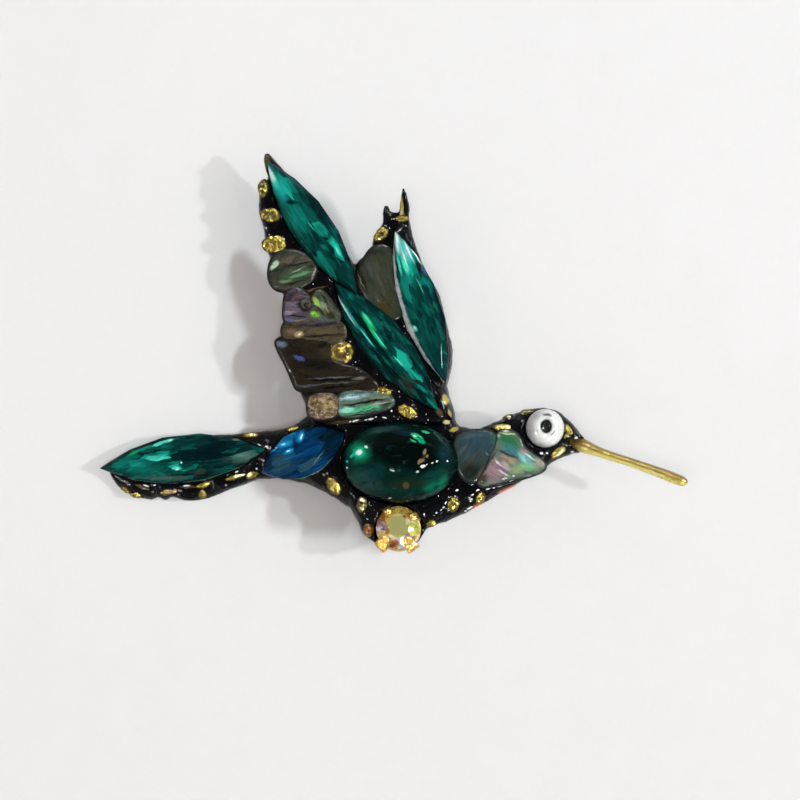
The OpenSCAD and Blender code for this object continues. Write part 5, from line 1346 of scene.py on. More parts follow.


# Each piece of shell: node, slot, ground, turn and width of its ridges, how far it spreads over its
# seat's edge, strength of its growth lines, how much wider and taller it is than its seat, how far it
# slides across and up, and its strokes. Colours are as they look on a screen; the whitest strokes are
# painted highlights.
SHELL = [
    ("shell_wing_oval", "bright_shell", (58, 64, 52), 14, 0.9, 0.5, 1.0,
     1.02, 1.28, 0.0, -0.1, [
        ((92, 86, 74), -15.9, 15.2, 3.4, 0.9, 5, 0.6, 0.9),
        ((80, 72, 62), -16.6, 10.6, 2.2, 0.6, -10, 0.6, 0.9),
        ((196, 218, 194), -19.1, 14.4, 0.95, 0.5, 45, 0.5, 1.0),
        ((66, 82, 62), -15.5, 13.0, 2.9, 1.2, 20, 0.4, 0.9),
        ((28, 28, 24), -15.2, 14.5, 2.5, 0.2, 12, 0.6, 0.9),
        ((92, 146, 104), -15.1, 12.8, 2.0, 0.3, 15, 0.6, 0.9),
        ((120, 152, 112), -17.3, 11.9, 1.1, 0.26, 10, 0.6, 0.9),
        ((150, 152, 138), -15.5, 13.5, 1.5, 0.12, 25, 0.5, 0.8),
        ((150, 145, 125), -12.8, 12.9, 0.2, 1.1, -15, 0.6, 0.9),
        ((34, 36, 30), -16.0, 11.5, 2.0, 0.16, 12, 0.6, 0.8)]),
    ("shell_wing_purple", "bright_shell", (80, 72, 80), 8, 0.9, 0.55, 1.0,
     1.1, 1.2, 0.1, 0.15, [
        ((112, 100, 114), -16.2, 7.7, 1.5, 1.1, 0, 0.7, 0.9),
        ((140, 124, 134), -16.8, 6.7, 1.0, 0.4, 6, 0.6, 0.9),
        ((92, 94, 140), -16.6, 5.4, 1.0, 0.36, 0, 0.6, 0.9),
        ((52, 52, 78), -17.3, 4.8, 0.8, 0.7, 0, 0.7, 0.9),
        ((28, 26, 28), -14.1, 8.0, 1.35, 1.25, 0, 0.3, 0.95),
        ((96, 92, 86), -14.0, 8.2, 1.0, 0.9, 0, 0.35, 0.9),
        ((30, 28, 30), -13.9, 7.9, 0.55, 0.5, 0, 0.3, 0.9),
        ((74, 72, 66), -13.7, 8.0, 0.3, 0.26, 0, 0.4, 0.8),
        ((42, 38, 44), -15.4, 6.1, 1.9, 0.16, -8, 0.5, 0.9),
        ((128, 118, 110), -15.0, 5.5, 1.2, 0.14, 6, 0.5, 0.8),
        ((50, 44, 50), -16.8, 9.0, 1.4, 0.4, 20, 0.7, 0.8),
        ((108, 78, 66), -15.5, 9.4, 0.8, 0.16, 20, 0.5, 0.8)]),
    ("shell_wing_lime", "bright_shell", (78, 84, 70), -50, 0.8, 0.6, 1.0,
     1.45, 1.2, 0.45, 0.2, [
        ((128, 142, 120), -11.4, 7.8, 0.9, 0.7, 0, 0.6, 0.9),
        ((150, 190, 76), -12.3, 8.4, 1.2, 0.4, -52, 0.5, 0.95),
        ((178, 214, 110), -12.4, 8.0, 0.6, 0.16, -52, 0.5, 0.9),
        ((104, 176, 50), -12.7, 6.5, 1.0, 0.5, -14, 0.5, 0.95),
        ((168, 214, 90), -12.9, 6.6, 0.4, 0.18, -14, 0.5, 0.9),
        ((84, 80, 104), -11.6, 5.5, 1.5, 0.28, 2, 0.6, 0.9),
        ((38, 40, 32), -11.6, 7.0, 0.22, 1.3, 40, 0.5, 0.9),
        ((38, 40, 34), -11.0, 8.9, 1.4, 0.22, -56, 0.6, 0.9),
        ((150, 136, 80), -10.4, 7.0, 0.16, 1.0, 30, 0.5, 0.9),
        ((44, 44, 38), -10.0, 6.2, 0.8, 0.7, 0, 0.6, 0.9)]),
    ("shell_wing_strip", "dark_shell", (76, 70, 54), 4, 0.8, 0.5, 1.0,
     1.04, 1.7, 0.0, 0.0, [
        ((46, 42, 56), -12.0, 4.7, 4.6, 0.3, 4, 0.6, 0.9),
        ((88, 82, 60), -11.4, 3.7, 3.2, 0.5, 3, 0.6, 0.8),
        ((112, 92, 80), -16.4, 3.6, 0.9, 0.6, 0, 0.7, 0.9),
        ((196, 176, 126), -15.1, 3.2, 0.8, 0.5, 10, 0.7, 0.9),
        # Painted highlight on the gold spot.
        ((250, 245, 225), -15.1, 3.2, 0.3, 0.16, 20, 0.5, 1.0),
        ((34, 30, 24), -11.6, 2.9, 3.4, 0.22, 3, 0.6, 0.9)]),
    ("shell_wing_large", "dark_shell", (42, 37, 30), 6, 1.1, 0.5, 1.0,
     1.05, 1.1, 0.3, 0.1, [
        ((58, 52, 38), -9.6, 0.2, 2.6, 1.2, 0, 0.8, 0.9),
        ((26, 24, 22), -12.4, -1.6, 3.4, 1.0, -6, 0.7, 0.8),
        ((98, 114, 138), -18.1, 1.7, 1.2, 0.55, -10, 0.6, 0.9),
        ((80, 98, 154), -15.1, -0.7, 1.0, 0.4, -22, 0.7, 0.9),
        ((92, 90, 98), -9.8, -3.8, 4.0, 0.13, 3, 0.5, 0.9),
        ((14, 13, 13), -9.8, -4.2, 4.4, 0.16, 3, 0.6, 0.9),
        ((80, 78, 76), -9.4, -4.75, 4.2, 0.13, 4, 0.5, 0.9),
        ((82, 82, 94), -13.6, -5.1, 1.6, 0.25, 2, 0.6, 0.9),
        ((120, 118, 110), -5.2, -3.9, 1.2, 0.3, 4, 0.7, 0.8),
        ((16, 15, 14), -8.6, -5.3, 3.6, 0.14, 4, 0.6, 0.9)]),
    ("shell_wing_rough", "dark_shell", (112, 94, 70), 20, 0.7, 0.5, 1.0,
     1.2, 1.15, -0.1, 0.0, [
        ((62, 48, 36), -13.4, -9.3, 1.0, 1.4, 10, 0.7, 0.9),
        ((214, 192, 120), -10.4, -8.1, 1.0, 0.5, 20, 0.7, 0.8),
        ((70, 54, 40), -10.6, -9.8, 1.6, 0.4, 6, 0.6, 0.8),
        ((150, 120, 100), -11.8, -7.4, 1.2, 0.4, 6, 0.6, 0.8)]),
    ("shell_wing_striped", "bright_shell", (92, 116, 102), 9, 0.9, 0.5, 1.0,
     1.08, 1.2, 0.1, 0.1, [
        ((112, 94, 68), -8.9, -7.3, 0.7, 1.0, 20, 0.6, 0.9),
        ((120, 128, 104), -2.6, -7.2, 2.4, 0.3, 10, 0.6, 0.8),
        ((150, 186, 194), -6.2, -6.9, 2.8, 0.5, 8, 0.5, 0.95),
        ((86, 190, 138), -4.4, -8.9, 4.0, 0.5, 10, 0.5, 0.95),
        ((142, 228, 204), -7.3, -9.1, 1.3, 0.5, 8, 0.6, 0.95),
        ((26, 28, 24), -4.4, -7.8, 4.2, 0.24, 9, 0.4, 0.95),
        ((30, 34, 30), -1.0, -8.2, 1.2, 0.7, 20, 0.6, 0.8),
        ((196, 228, 222), -6.6, -7.0, 1.8, 0.12, 8, 0.5, 0.9),
        ((176, 164, 154), -2.0, -8.0, 1.6, 0.2, 12, 0.6, 0.9),
        ((54, 96, 80), -4.0, -9.2, 2.4, 0.12, 10, 0.5, 0.8),
        ((34, 40, 36), -4.6, -9.7, 3.8, 0.18, 9, 0.6, 0.9),
        ((110, 140, 150), -6.4, -6.7, 2.0, 0.1, 8, 0.5, 0.8)]),
    ("shell_far_wing", "dark_shell", (58, 62, 50), -66, 0.9, 0.75, 0.55,
     1.12, 1.06, -0.1, 0.1, [
        ((36, 34, 30), -5.3, 12.3, 3.2, 0.75, -67, 0.5, 0.95),
        ((124, 114, 96), -5.2, 12.0, 1.9, 0.12, -67, 0.6, 0.9),
        ((66, 70, 58), -2.4, 13.4, 2.4, 1.5, -66, 0.8, 0.9),
        ((70, 62, 38), -1.3, 7.6, 1.8, 1.3, -66, 0.8, 0.9),
        ((70, 76, 84), -3.6, 13.4, 1.6, 0.5, -66, 0.7, 0.7),
        ((50, 46, 50), -3.0, 16.4, 1.6, 0.5, 10, 0.7, 0.8),
        ((78, 78, 66), -1.9, 11.4, 2.4, 0.3, -66, 0.7, 0.7)]),
    ("shell_neck_dark", "dark_shell", (54, 70, 70), 60, 1.0, 0.5, 0.4,
     1.1, 1.0, -0.15, 0.0, [
        ((50, 72, 82), 14.2, -14.2, 3.4, 1.9, 10, 0.7, 0.9),
        ((68, 88, 100), 13.2, -13.1, 2.2, 0.5, 10, 0.7, 0.9),
        ((34, 38, 34), 12.6, -19.0, 2.2, 1.8, 0, 0.8, 0.95),
        ((66, 66, 56), 12.6, -17.4, 1.6, 0.6, 40, 0.8, 0.5),
        ((116, 126, 154), 15.4, -16.1, 0.4, 0.12, -50, 0.5, 0.9),
        ((58, 92, 76), 16.2, -13.2, 0.8, 1.3, 10, 0.8, 0.8),
        ((92, 80, 70), 14.4, -19.4, 0.5, 1.2, -20, 0.7, 0.7),
        ((74, 88, 90), 11.4, -15.4, 1.4, 0.4, 40, 0.8, 0.6)]),
    ("shell_neck_bright", "bright_shell", (98, 118, 104), -34, 0.9, 0.5, 0.6,
     1.09, 1.06, -0.4, 0.1, [
        ((46, 108, 70), 18.8, -14.0, 2.2, 1.2, -20, 0.7, 0.95),
        ((204, 228, 152), 18.6, -12.9, 1.5, 0.14, -6, 0.5, 1.0),
        ((152, 192, 182), 17.1, -13.2, 0.4, 0.3, 0, 0.6, 0.9),
        ((58, 122, 124), 19.2, -15.5, 1.9, 0.9, -30, 0.7, 0.95),
        ((130, 198, 198), 21.5, -16.9, 1.8, 0.75, -35, 0.7, 0.95),
        ((198, 230, 230), 22.2, -16.5, 1.4, 0.16, -35, 0.5, 0.9),
        ((120, 182, 132), 21.8, -18.2, 1.8, 0.7, -10, 0.7, 0.9),
        ((168, 162, 146), 23.8, -17.5, 1.1, 0.9, 0, 0.7, 0.9),
        ((204, 146, 154), 21.4, -15.7, 0.75, 0.4, -30, 0.8, 0.7),
        ((172, 158, 128), 18.9, -17.0, 1.4, 0.7, -30, 0.7, 0.9),
        ((152, 168, 122), 20.2, -18.7, 1.3, 0.7, 0, 0.7, 0.8),
        ((152, 126, 132), 16.6, -18.8, 2.3, 1.8, 50, 0.6, 0.95),
        ((58, 48, 84), 18.5, -16.1, 2.0, 0.25, -22, 0.6, 0.9),
        ((230, 220, 220), 17.2, -17.7, 1.1, 0.2, -50, 0.6, 0.9),
        ((120, 78, 154), 17.7, -18.5, 1.2, 0.2, -42, 0.6, 0.9),
        ((226, 210, 196), 17.9, -19.2, 1.1, 0.2, -32, 0.6, 0.9),
        ((70, 58, 48), 14.6, -20.2, 1.2, 0.9, 40, 0.7, 0.9),
        ((206, 190, 178), 18.3, -18.1, 1.2, 0.5, -34, 0.6, 0.6),
        ((16, 20, 18), 18.6, -20.95, 3.6, 0.6, 14, 0.5, 0.95),
        # Painted white highlights along the lower edge.
        ((250, 250, 245), 18.1, -20.1, 0.4, 0.14, 10, 0.5, 1.0),
        ((250, 250, 245), 19.6, -19.7, 0.3, 0.12, 10, 0.5, 0.9),
        ((16, 18, 18), 17.2, -21.5, 4.0, 0.75, 11, 0.4, 1.0),
        ((16, 18, 18), 21.8, -20.4, 2.4, 0.5, 18, 0.4, 1.0),
        ((60, 50, 44), 15.4, -17.8, 3.0, 0.28, 58, 0.6, 0.8)])]


class BROOCH_OT_shell(bpy.types.Operator):
    """Ridge the pieces of sea shell"""
    bl_idname = "brooch.shell"
    bl_label = "Shell"

    def execute(self, context):
        sizes = context.scene.brooch_shell
        for number, row in enumerate(SHELL):
            node, slot, ground, turn, ridge, spread, veins, wide, tall, right, up, strokes = row
            piece = merged_copy(node, node.replace("shell", "sea_shell"))
            softened(piece, sizes.grain, 3)
            facing = normals(piece.data)
            self.spread(piece, facing, spread, (wide, tall, 1.0), (right, up, 0.0))
            self.ripple(piece, facing, turn, ridge, number, sizes.ripple / MM)
            shade(piece, True)
            finished(piece, mother_of_pearl(node, ground, turn, ridge, veins, strokes), slot, node)
        return {"FINISHED"}

    def spread(self, piece, facing, over, swell, slide):
        """Spreads the sides over the seat's edge, and swells and slides the piece."""
        flat = in_plan(coordinates(piece.data) + facing * (1.0, 1.0, 0.0) * over * MM)
        middle = (flat.min(0) + flat.max(0)) / 2
        set_coordinates(piece.data, in_row((flat - middle) * swell + middle + slide))

    def ripple(self, piece, facing, turn, ridge, seed, height):
        """Raises growth ridges and soft waves on the face."""
        places = in_plan(coordinates(piece.data))
        a = math.radians(turn)
        along = places[:, 0] * math.cos(a) + places[:, 1] * math.sin(a)
        across = -places[:, 0] * math.sin(a) + places[:, 1] * math.cos(a)
        stretched = np.column_stack([along / 5.0, across, places[:, 2] / 4.0])
        ridges = rough(stretched, ridge, seed + 3.0)
        waves = rough(places, 3.0, seed + 20.0, 2)
        top = np.clip(facing[:, 2], 0.0, 1.0)
        keep(piece.data, "top", top)
        push = (ridges * top + 0.5 * waves - 0.3) * height
        set_coordinates(piece.data, coordinates(piece.data) + facing * (push * MM)[:, None])


def mother_of_pearl(name, ground, turn, ridge, veins, strokes):
    """Polished shell: soft bands of colour along its growth lines, sparkling where it is broken, and its
    sides painted dark as shade.
    """
    f = Finish(name, specular_ior_level=0.16, ior=1.5)
    plan = f.plan()
    base = seen(*ground)
    shaken = f.shaken(f.shaken(plan, 1.6, 0.35), 0.5, 0.12)
    painted = f.painted(shaken, base, [(seen(*colour), *rest) for colour, *rest in strokes])
    growth = f.turned(f.shaken(plan, 2.0, 0.9), turn, (2.6 * ridge, 0.8 * ridge))
    lines = f.noise(growth, 1.0, 4.0, 1.2, 0.55)
    dark = f.mix(1.0, painted, (0.3, 0.29, 0.28), "MULTIPLY")
    light = f.mix(1.0, painted, (1.7, 1.75, 1.65), "MULTIPLY")
    painted = f.layered(
        painted, (lines, 0.52, 0.34, 0.8 * veins, dark), (lines, 0.56, 0.74, 0.7 * veins, light))
    if name == "shell_wing_rough":
        grit = f.noise(plan, 0.6, 5.0, 0.0, 0.7)
        patch = f.noise(plan, 1.3, 3.0)
        painted = f.layered(
            painted,
            (patch, 0.52, 0.62, 0.7, seen(182, 160, 134)), (patch, 0.46, 0.36, 0.8, seen(78, 60, 42)),
            (grit, 0.53, 0.64, 0.7, seen(204, 184, 140)), (grit, 0.46, 0.36, 0.8, seen(56, 42, 32)))
    grain = f.noise(f.turned(plan, turn, (0.9, 0.45)), 0.3, 4.0, 0.0, 0.75)
    glitter = f.noise(f.turned(plan, turn, (1.6, 0.6)), 0.3, 3.0, 0.0, 0.7)
    top = f.kept("top")
    # Grain bands the colour, and the sides that turn away from the top are painted dark as shade.
    painted = f.layered(
        painted, (grain, 0.5, 0.36, 0.55 * veins, dark), (grain, 0.54, 0.68, 0.4 * veins, light),
        (glitter, 0.72, 0.8, 0.5, (0.7, 0.72, 0.66)), (top, 0.9, 0.5, 0.76 + 0.17 * veins, seen(26, 23, 20)))
    dull = f.step(top, 0.9, 0.4, 0.3) + 0.1
    return f.set(color=painted, roughness=dull, normal=f.bump(lines, 0.16 * veins, 0.6))


# Dabs that are rings round a dark hollow: the hollow's middle across and up, half length, half width
# and turn.
HOLLOW_DABS = [
    (-1.9, 19.3, 0.45, 0.32, 20)]
HOLLOW_DARK = (0.015, 0.012, 0.008)
# Strokes that make some dabs dim, reddish or brown, and others bright; the two small pale ones, on the ball
# and on a dab of the head, are painted highlights.
DAB_TONES_AND_HIGHLIGHTS = [
    ((0.13, 0.115, 0.05), 21.6, -9.35, 1.6, 0.9, 14, 0.5, 0.95),
    ((0.12, 0.08, 0.03), 18.6, -10.1, 1.0, 0.7, 0, 0.5, 0.85),
    ((0.9, 0.8, 0.7), 18.65, -10.2, 0.3, 0.22, 0, 0.4, 0.95),
    ((0.36, 0.26, 0.06), 17.7, -11.8, 1.8, 0.9, 4, 0.6, 0.5),
    ((0.11, 0.09, 0.03), -5.1, -24.3, 1.6, 1.6, 0, 0.5, 0.85),
    ((0.5, 0.48, 0.26), -5.0, -23.5, 0.7, 0.3, 0, 0.5, 0.9),
    ((0.02, 0.018, 0.012), -5.1, -24.1, 1.0, 0.16, 0, 0.4, 0.9),
    ((0.3, 0.27, 0.16), -5.2, -25.0, 0.5, 0.4, 0, 0.5, 0.8),
    ((0.2, 0.1, 0.03), -4.1, -28.3, 1.6, 1.3, 0, 0.5, 0.85),
    ((0.42, 0.08, 0.05), -4.1, -28.3, 0.4, 0.3, 0, 0.6, 0.8),
    ((0.4, 0.34, 0.16), -4.2, -27.6, 0.8, 0.2, 0, 0.6, 0.7),
    ((0.06, 0.05, 0.012), -21.0, 27.0, 1.2, 1.4, 0, 0.5, 0.7),
    ((0.12, 0.09, 0.022), -19.8, 22.6, 1.5, 1.0, 0, 0.5, 0.92),
    ((0.18, 0.12, 0.02), -19.3, 17.3, 1.3, 0.8, 0, 0.6, 0.75),
    ((0.2, 0.15, 0.02), 2.2, -9.0, 0.8, 0.6, -20, 0.6, 0.7),
    ((0.14, 0.1, 0.015), -1.6, -5.8, 0.8, 0.5, 20, 0.6, 0.7),
    ((0.2, 0.13, 0.03), 10.1, -24.4, 0.5, 0.3, 60, 0.5, 0.8),
    ((0.2, 0.1, 0.03), -8.5, -20.3, 1.0, 1.0, 0, 0.5, 0.8),
    ((0.07, 0.045, 0.008), -8.0, 0.3, 1.5, 1.5, 0, 0.5, 0.92),
    ((0.3, 0.2, 0.03), -8.3, 0.6, 0.8, 0.7, 30, 0.7, 0.9),
    ((0.9, 0.8, 0.3), -8.2, 0.75, 0.3, 0.2, 30, 0.5, 0.95),
    ((0.8, 0.72, 0.34), -31.0, -20.6, 0.8, 0.22, 16, 0.5, 0.9),
    ((0.8, 0.72, 0.34), -25.2, -19.7, 1.0, 0.2, 14, 0.5, 0.9),
    ((0.85, 0.78, 0.42), -23.5, -19.6, 0.5, 0.3, 30, 0.5, 0.9),
    ((0.8, 0.72, 0.34), -23.2, -13.0, 0.6, 0.2, -6, 0.5, 0.9),
    ((0.8, 0.74, 0.4), -42.2, -22.6, 0.6, 0.2, -10, 0.5, 0.9),
    ((0.2, 0.13, 0.07), -36.4, -22.3, 1.4, 0.6, 0, 0.5, 0.9),
    ((0.8, 0.7, 0.34), -31.4, -22.1, 0.4, 0.24, 20, 0.5, 0.8),
    ((0.85, 0.78, 0.4), 27.2, -15.8, 0.8, 0.3, 34, 0.5, 0.9),
    ((0.8, 0.7, 0.26), 17.8, -11.7, 1.2, 0.3, 4, 0.5, 0.8)]
# Dabs that are broader than their seats: middle and how much broader.
DAB_NEAR = 1.2
BROAD_DABS = [((17.9, -11.8), 1.25), ((28.3, -12.2), 1.2), ((27.1, -15.9), 1.15), ((-21.0, 26.9), 1.3)]


class BROOCH_OT_gold_dabs(bpy.types.Operator):
    """Press the crumpled dabs of gold leaf"""
    bl_idname = "brooch.gold_dabs"
    bl_label = "Gold dabs"

    def execute(self, context):
        sizes = context.scene.brooch_gold
        source = merged_copy("gold_dabs", "gold_flecks")
        seats = self.seats(source.data)
        mesh = bpy.data.meshes.new("gold_flecks")
        mesh.from_pydata([tuple(middle) for middle, spin, half in seats], [], [])
        for name, values in (("spin", [tuple(spin) for middle, spin, half in seats]),
                             ("half", [tuple(half) for middle, spin, half in seats])):
            kept = mesh.attributes.new(name, "FLOAT_VECTOR", "POINT")
            kept.data.foreach_set("vector", np.array(values).ravel())
        bpy.data.objects.remove(source)
        piece = new_piece("gold_flecks", mesh)
        leaf = gold_leaf(tuple(sizes.leaf))
        piece = leaf_flecks(piece, {"Crumple": sizes.crumple, "Crease Size": 0.9 * MM}, leaf)
        self.hollow(piece)
        shade(piece, True)
        finished(piece, leaf, "gold_leaf", "gold_dabs")
        return {"FINISHED"}

    def seats(self, mesh):
        """Middle, turn and half sizes of each loose dab, in the order of their first points."""
        shape = bmesh.new()
        shape.from_mesh(mesh)
        found, seats = set(), []
        for first in shape.verts:
            points, edge = [], [first]
            while edge:
                vert = edge.pop()
                if vert.index not in found:
                    found.add(vert.index)
                    points.append(vert.co[:])
                    edge.extend(link.other_vert(vert) for link in vert.link_edges)
            if points:
                seats.append(self.seat(np.array(points)))
        shape.free()
        return seats

    def seat(self, points):
        middle = (points.min(0) + points.max(0)) / 2
        axes = np.linalg.eigh(np.cov((points - middle)[:, :2].T))[1]
        along = axes[:, 1]
        turn = math.atan2(along[1], along[0])
        back = Matrix.Rotation(-turn, 3, "Z")
        local = np.array([back @ Vector(p - middle) for p in points])
        half = (local.max(0) - local.min(0)) / 2 * (1.2, 1.26, 1.15)
        flat = in_plan([middle])[0][:2]
        for spot, broader in BROAD_DABS:
            if np.hypot(*(flat - spot)) < DAB_NEAR:
                half = half * (broader, broader, 1.0)
        return middle, (0.0, 0.0, turn), half

    def hollow(self, piece):
        places = coordinates(piece.data)
        flat = in_plan(places)
        for across, up, half_length, half_width, turn in HOLLOW_DABS:
            reach = ellipse_reach(flat, (across, up), (half_length, half_width), turn)
            places[:, 2] -= ramp(reach, 1.5, 0.7) * 0.5 * MM
        set_coordinates(piece.data, places)


def leaf_flecks(piece, sizes, finish):
    """A crumpled flake of leaf over each point, turned and sized by what the point carries."""
    g = Growth("leaf_flecks", sizes)
    half, spin = g.read("half", "FLOAT_VECTOR"), g.read("spin", "FLOAT_VECTOR")
    flake = g.add("GeometryNodeMeshIcoSphere", None, {"Radius": 1.0, "Subdivisions": 5})
    split = g.add("ShaderNodeSeparateXYZ", None, {0: g.add("GeometryNodeInputPosition")})
    flake = g.note(flake, "rise", split.beside("Z"))
    points = g.add("GeometryNodeMeshToPoints", None, {0: g.base})
    dabs = g.add("GeometryNodeInstanceOnPoints", None, {
        "Points": points, "Instance": flake, "Rotation": spin, "Scale": half})
    dabs = g.add("GeometryNodeRealizeInstances", None, {0: dabs})
    place = g.add("GeometryNodeInputPosition")
    size = g.size("Crease Size")
    creases = g.add("ShaderNodeTexNoise", {"noise_type": "RIDGED_MULTIFRACTAL"}, {
        "Vector": place, "Scale": 1.0 / size, "Detail": 3.0}, "Fac")
    lumps = g.add("ShaderNodeTexNoise", None, {
        "Vector": place, "Scale": 1.0 / (size * 1.6), "Detail": 3.0}, "Fac")
    depth = (lumps - 0.52) * 1.7 + (creases - 0.9) * 0.22
    return g.grown(piece, g.pushed(dabs, depth * g.size("Crumple") * 1.6), finish)


def gold_leaf(colour):
    """Yellow leaf with olive brown patches, painted highlight patches, and painted shade on the lower part
    of each dab.
    """
    f = Finish("gold_leaf", metallic=0.7, ior=1.5)
    solid = f.plan(flat=False)
    rise = f.kept("rise")
    patch = f.noise(solid, 1.3, 3.0)
    # Olive brown patches, painted highlight patches, and painted shade on the lower part of each dab.
    ground = f.layered(
        colour, (patch, 0.5, 0.62, 0.85, (0.12, 0.08, 0.012)), (patch, 0.4, 0.28, 0.8, (0.6, 0.54, 0.17)),
        (rise + (patch - 0.5) * 0.8, 0.72, 0.35, 0.85, (0.1, 0.06, 0.008)))
    ground = f.painted(f.plan(), ground, DAB_TONES_AND_HIGHLIGHTS + [
        (HOLLOW_DARK, *spot, 0.4, 0.95) for spot in HOLLOW_DABS])
    dull = f.step(patch, 0.3, 0.8, 0.2) + 0.16
    return f.set(color=ground, roughness=dull, normal=f.bump(f.noise(solid, 0.6, 2.0), 0.2, 0.8))


class BROOCH_OT_pin(bpy.types.Operator):
    """Soften and brush the pin on the back"""
    bl_idname = "brooch.pin"
    bl_label = "Pin"

    def execute(self, context):
        piece = merged_copy("pin_back", "brooch_pin")
        worn(piece, 0.12 * MM, 35, segments=2)
        shade(piece, True)
        finished(piece, brushed_steel(), "pin_metal", "pin_back")
        return {"FINISHED"}


def brushed_steel():
    f = Finish("brooch_pin", metallic=1.0, ior=1.5)
    solid = f.plan(flat=False)
    grain = f.noise(f.scaled(solid, (1.0, 0.08, 1.0)), 0.12)
    worn = f.noise(solid, 1.5, 4.0)
    ground = f.mix(f.step(worn, 0.5, 0.75, 0.6), (0.56, 0.55, 0.52), (0.3, 0.27, 0.22))
    dull = f.step(grain, 0.3, 0.7, 0.2) + 0.25
    return f.set(color=ground, roughness=dull, normal=f.bump(grain, 0.04, 0.4))


class BroochStage(bpy.types.PropertyGroup):
    """Floor, light and camera."""
    floor: tint("Floor", "Colour of the floor", (0.59, 0.56, 0.545))
    sky: tint("Sky", "Colour of the light from all round", (1.0, 0.98, 0.965))
    sky_strength: FloatProperty(name="Sky strength", description="Strength of the light from all round",
                                default=0.4, min=0.0, max=3.0)
    key_strength: FloatProperty(name="Key strength", description="Strength of the lamps",
                                default=1.0, min=0.0, max=5.0)
    eye_height: length("Camera height", "Height of the camera above the brooch", 800.0, 300.0, 1500.0)


# The camera looks straight down at this place of the plan, and takes in this width there.
VIEW_CENTRE = (0.69, -7.44)
VIEW_HEIGHT = 8.0
VIEW_WIDTH = 129.5
SENSOR = 36.0
FLOOR_HALF = 1.2
# Heights on the sky, as sines of the elevation, between which it darkens.
OVERHEAD = (0.7, 0.95)
# Each lamp: name, direction that it comes from as azimuth and elevation, distance, size, watts and
# colour. Soft lamps leave no round reflection. Glints show only in what is glossy, and leave out the
# stones. The grazing lamp lights the floor alone, where the near wing throws a second shadow.
LAMPS = [
    ("window", 2.0, 38.0, 2.0, 0.09, 16.8, (0.92, 0.965, 1.0)),
    ("soft_window", 8.0, 40.0, 2.1, 1.6, 6.4, (1.0, 0.985, 0.97)),
    ("lamp", 3.0, 63.0, 1.2, 0.035, 0.6, (1.0, 0.99, 0.96)),
    ("soft_ceiling", 230.0, 86.0, 1.3, 0.4, 6.2, (1.0, 0.98, 0.965)),
    ("soft_back", 190.0, 45.0, 1.3, 1.1, 1.2, (1.0, 0.975, 0.96)),
    ("grazing_floor", 69.0, 25.4, 3.0, 0.18, 101.0, (0.78, 0.92, 1.0)),
    ("glint_right", 25.0, 44.0, 1.2, 0.08, 11.0, (1.0, 1.0, 1.0)),
    ("glint_far", 95.0, 44.0, 1.2, 0.08, 11.0, (0.95, 0.98, 1.0)),
    ("glint_left", 200.0, 50.0, 1.2, 0.06, 7.0, (1.0, 0.98, 0.95)),
    ("glint_near", 290.0, 44.0, 1.2, 0.08, 11.0, (1.0, 1.0, 1.0))]


# The stones, whose highlights and reflections are painted into their own colours, so that the glints leave
# them out.
STONES = ("near_wing", "far_wing", "tail", "sapphire", "oval")


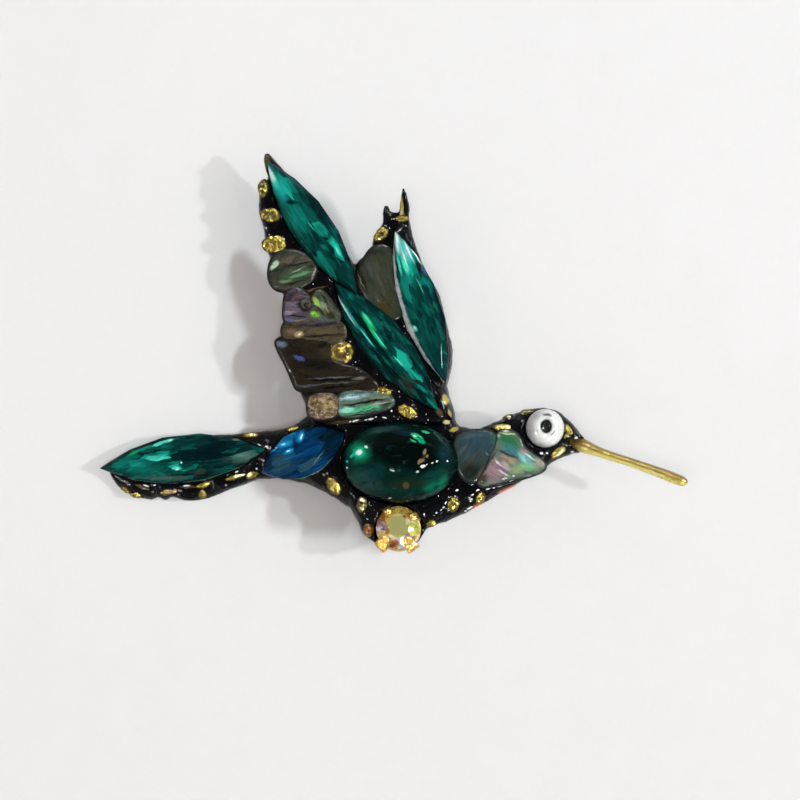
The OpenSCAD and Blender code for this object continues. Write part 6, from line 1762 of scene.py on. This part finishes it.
class BROOCH_OT_stage(bpy.types.Operator):
    """Lay the pale floor, set the light and place the camera"""
    bl_idname = "brooch.stage"
    bl_label = "Stage"

    def execute(self, context):
        stage = context.scene.brooch_stage
        mesh = bpy.data.meshes.new("floor")
        corners = [(x * FLOOR_HALF, y * FLOOR_HALF, 0.0) for x, y in ((-1, -1), (1, -1), (1, 1), (-1, 1))]
        mesh.from_pydata(corners, [], [(0, 1, 2, 3)])
        floor = new_piece("floor", mesh)
        floor.data.materials.append(paper_floor(tuple(stage.floor)))
        context.scene.view_settings.view_transform = "Standard"
        self.light(context, stage, floor)
        self.camera(context, stage)
        return {"FINISHED"}

    def light(self, context, stage, floor):
        world = bpy.data.worlds.new("studio")
        world.use_nodes = True
        sky = world.node_tree.nodes["Background"]
        sky.inputs["Color"].default_value = (*stage.sky, 1.0)
        self.dim_overhead(world.node_tree, sky, stage.sky_strength)
        context.scene.world = world
        others = bpy.data.collections.new("without_stones")
        for name, piece in bpy.data.objects.items():
            if piece.type == "MESH" and name not in frame["nodes"] and not name.startswith(STONES):
                others.objects.link(piece)
        for name, azimuth, elevation, distance, size, watts, colour in LAMPS:
            lamp = bpy.data.lights.new(name, "AREA")
            lamp.shape = "DISK"
            lamp.size = size
            lamp.energy = watts * stage.key_strength
            lamp.color = colour
            turn, rise = math.radians(azimuth), math.radians(elevation)
            way = Vector((math.cos(turn) * math.cos(rise), math.sin(turn) * math.cos(rise), math.sin(rise)))
            light = bpy.data.objects.new(name, lamp)
            light.location = way * distance
            light.rotation_euler = (-way).to_track_quat("-Z", "Y").to_euler()
            light.visible_glossy = not name.startswith("soft")
            light.visible_diffuse = not name.startswith("glint")
            context.scene.collection.objects.link(light)
            if name.startswith("grazing"):
                self.graze(light, floor)
            if name.startswith("glint"):
                light.light_linking.receiver_collection = others

    def graze(self, light, floor):
        """Has the grazing lamp light the floor alone, with only the near wing's pieces in its way."""
        wing = [piece for name, piece in bpy.data.objects.items()
                if name.startswith(("near_wing", "sea_shell_wing"))]
        for role, members in (("receiver", [floor]), ("blocker", wing)):
            group = bpy.data.collections.new("grazing_" + role)
            for member in members:
                group.objects.link(member)
            setattr(light.light_linking, role + "_collection", group)

    def dim_overhead(self, tree, sky, strength):
        """The room is darker straight overhead than towards its walls."""
        way = tree.nodes.new("ShaderNodeTexCoord")
        split = tree.nodes.new("ShaderNodeSeparateXYZ")
        shade_of = tree.nodes.new("ShaderNodeMapRange")
        shade_of.interpolation_type = "SMOOTHSTEP"
        limits = (*OVERHEAD, strength, 0.2 * strength)
        for name, value in zip(("From Min", "From Max", "To Min", "To Max"), limits):
            shade_of.inputs[name].default_value = value
        tree.links.new(way.outputs["Generated"], split.inputs[0])
        tree.links.new(split.outputs["Z"], shade_of.inputs["Value"])
        tree.links.new(shade_of.outputs[0], sky.inputs["Strength"])

    def camera(self, context, stage):
        data = bpy.data.cameras.new("camera")
        data.sensor_width = SENSOR
        data.lens = SENSOR * stage.eye_height / (VIEW_WIDTH * MM)
        data.clip_start = 0.01
        camera = bpy.data.objects.new("camera", data)
        aim = Vector(in_row([(*VIEW_CENTRE, 0.0)])[0])
        camera.location = (aim.x, aim.y, VIEW_HEIGHT * MM + stage.eye_height)
        context.scene.collection.objects.link(camera)
        context.scene.camera = camera


def paper_floor(colour):
    f = Finish("pale_floor", roughness=0.55, ior=1.3)
    place = f.add("ShaderNodeTexCoord", output="Object")
    shade_of = f.noise(place, 0.12, 2.0)
    return f.set(color=f.mix(f.step(shade_of, 0.3, 0.7), colour, tuple(c * 0.985 for c in colour)))


OPERATORS = [
    BROOCH_OT_resin_body, BROOCH_OT_long_stones, BROOCH_OT_blue_stone, BROOCH_OT_oval_stone,
    BROOCH_OT_round_stone, BROOCH_OT_eye, BROOCH_OT_beak, BROOCH_OT_shell, BROOCH_OT_gold_dabs,
    BROOCH_OT_pin, BROOCH_OT_stage]
SETTINGS = {"brooch_resin": BroochResin, "brooch_stones": BroochStones, "brooch_shell": BroochShell,
            "brooch_gold": BroochGold, "brooch_stage": BroochStage}


class BROOCH_PT_panel(bpy.types.Panel):
    """Sizes, colours and steps of the brooch"""
    bl_idname = "BROOCH_PT_panel"
    bl_label = "Hummingbird brooch"
    bl_space_type = "VIEW_3D"
    bl_region_type = "UI"
    bl_category = "Brooch"

    def draw(self, context):
        for operator in OPERATORS:
            self.layout.operator(operator.bl_idname)
        for name, group in SETTINGS.items():
            box = self.layout.box()
            for key in group.__annotations__:
                box.prop(getattr(context.scene, name), key)


def register():
    for cls in (*SETTINGS.values(), *OPERATORS, BROOCH_PT_panel):
        bpy.utils.register_class(cls)
    for name, group in SETTINGS.items():
        setattr(bpy.types.Scene, name, PointerProperty(type=group))


def unregister():
    for name in SETTINGS:
        delattr(bpy.types.Scene, name)
    for cls in (BROOCH_PT_panel, *reversed(OPERATORS), *reversed(list(SETTINGS.values()))):
        bpy.utils.unregister_class(cls)


def main():
    register()
    for operator in OPERATORS:
        group, step = operator.bl_idname.split(".")
        getattr(getattr(bpy.ops, group), step)()


if __name__ == "__main__":
    main()
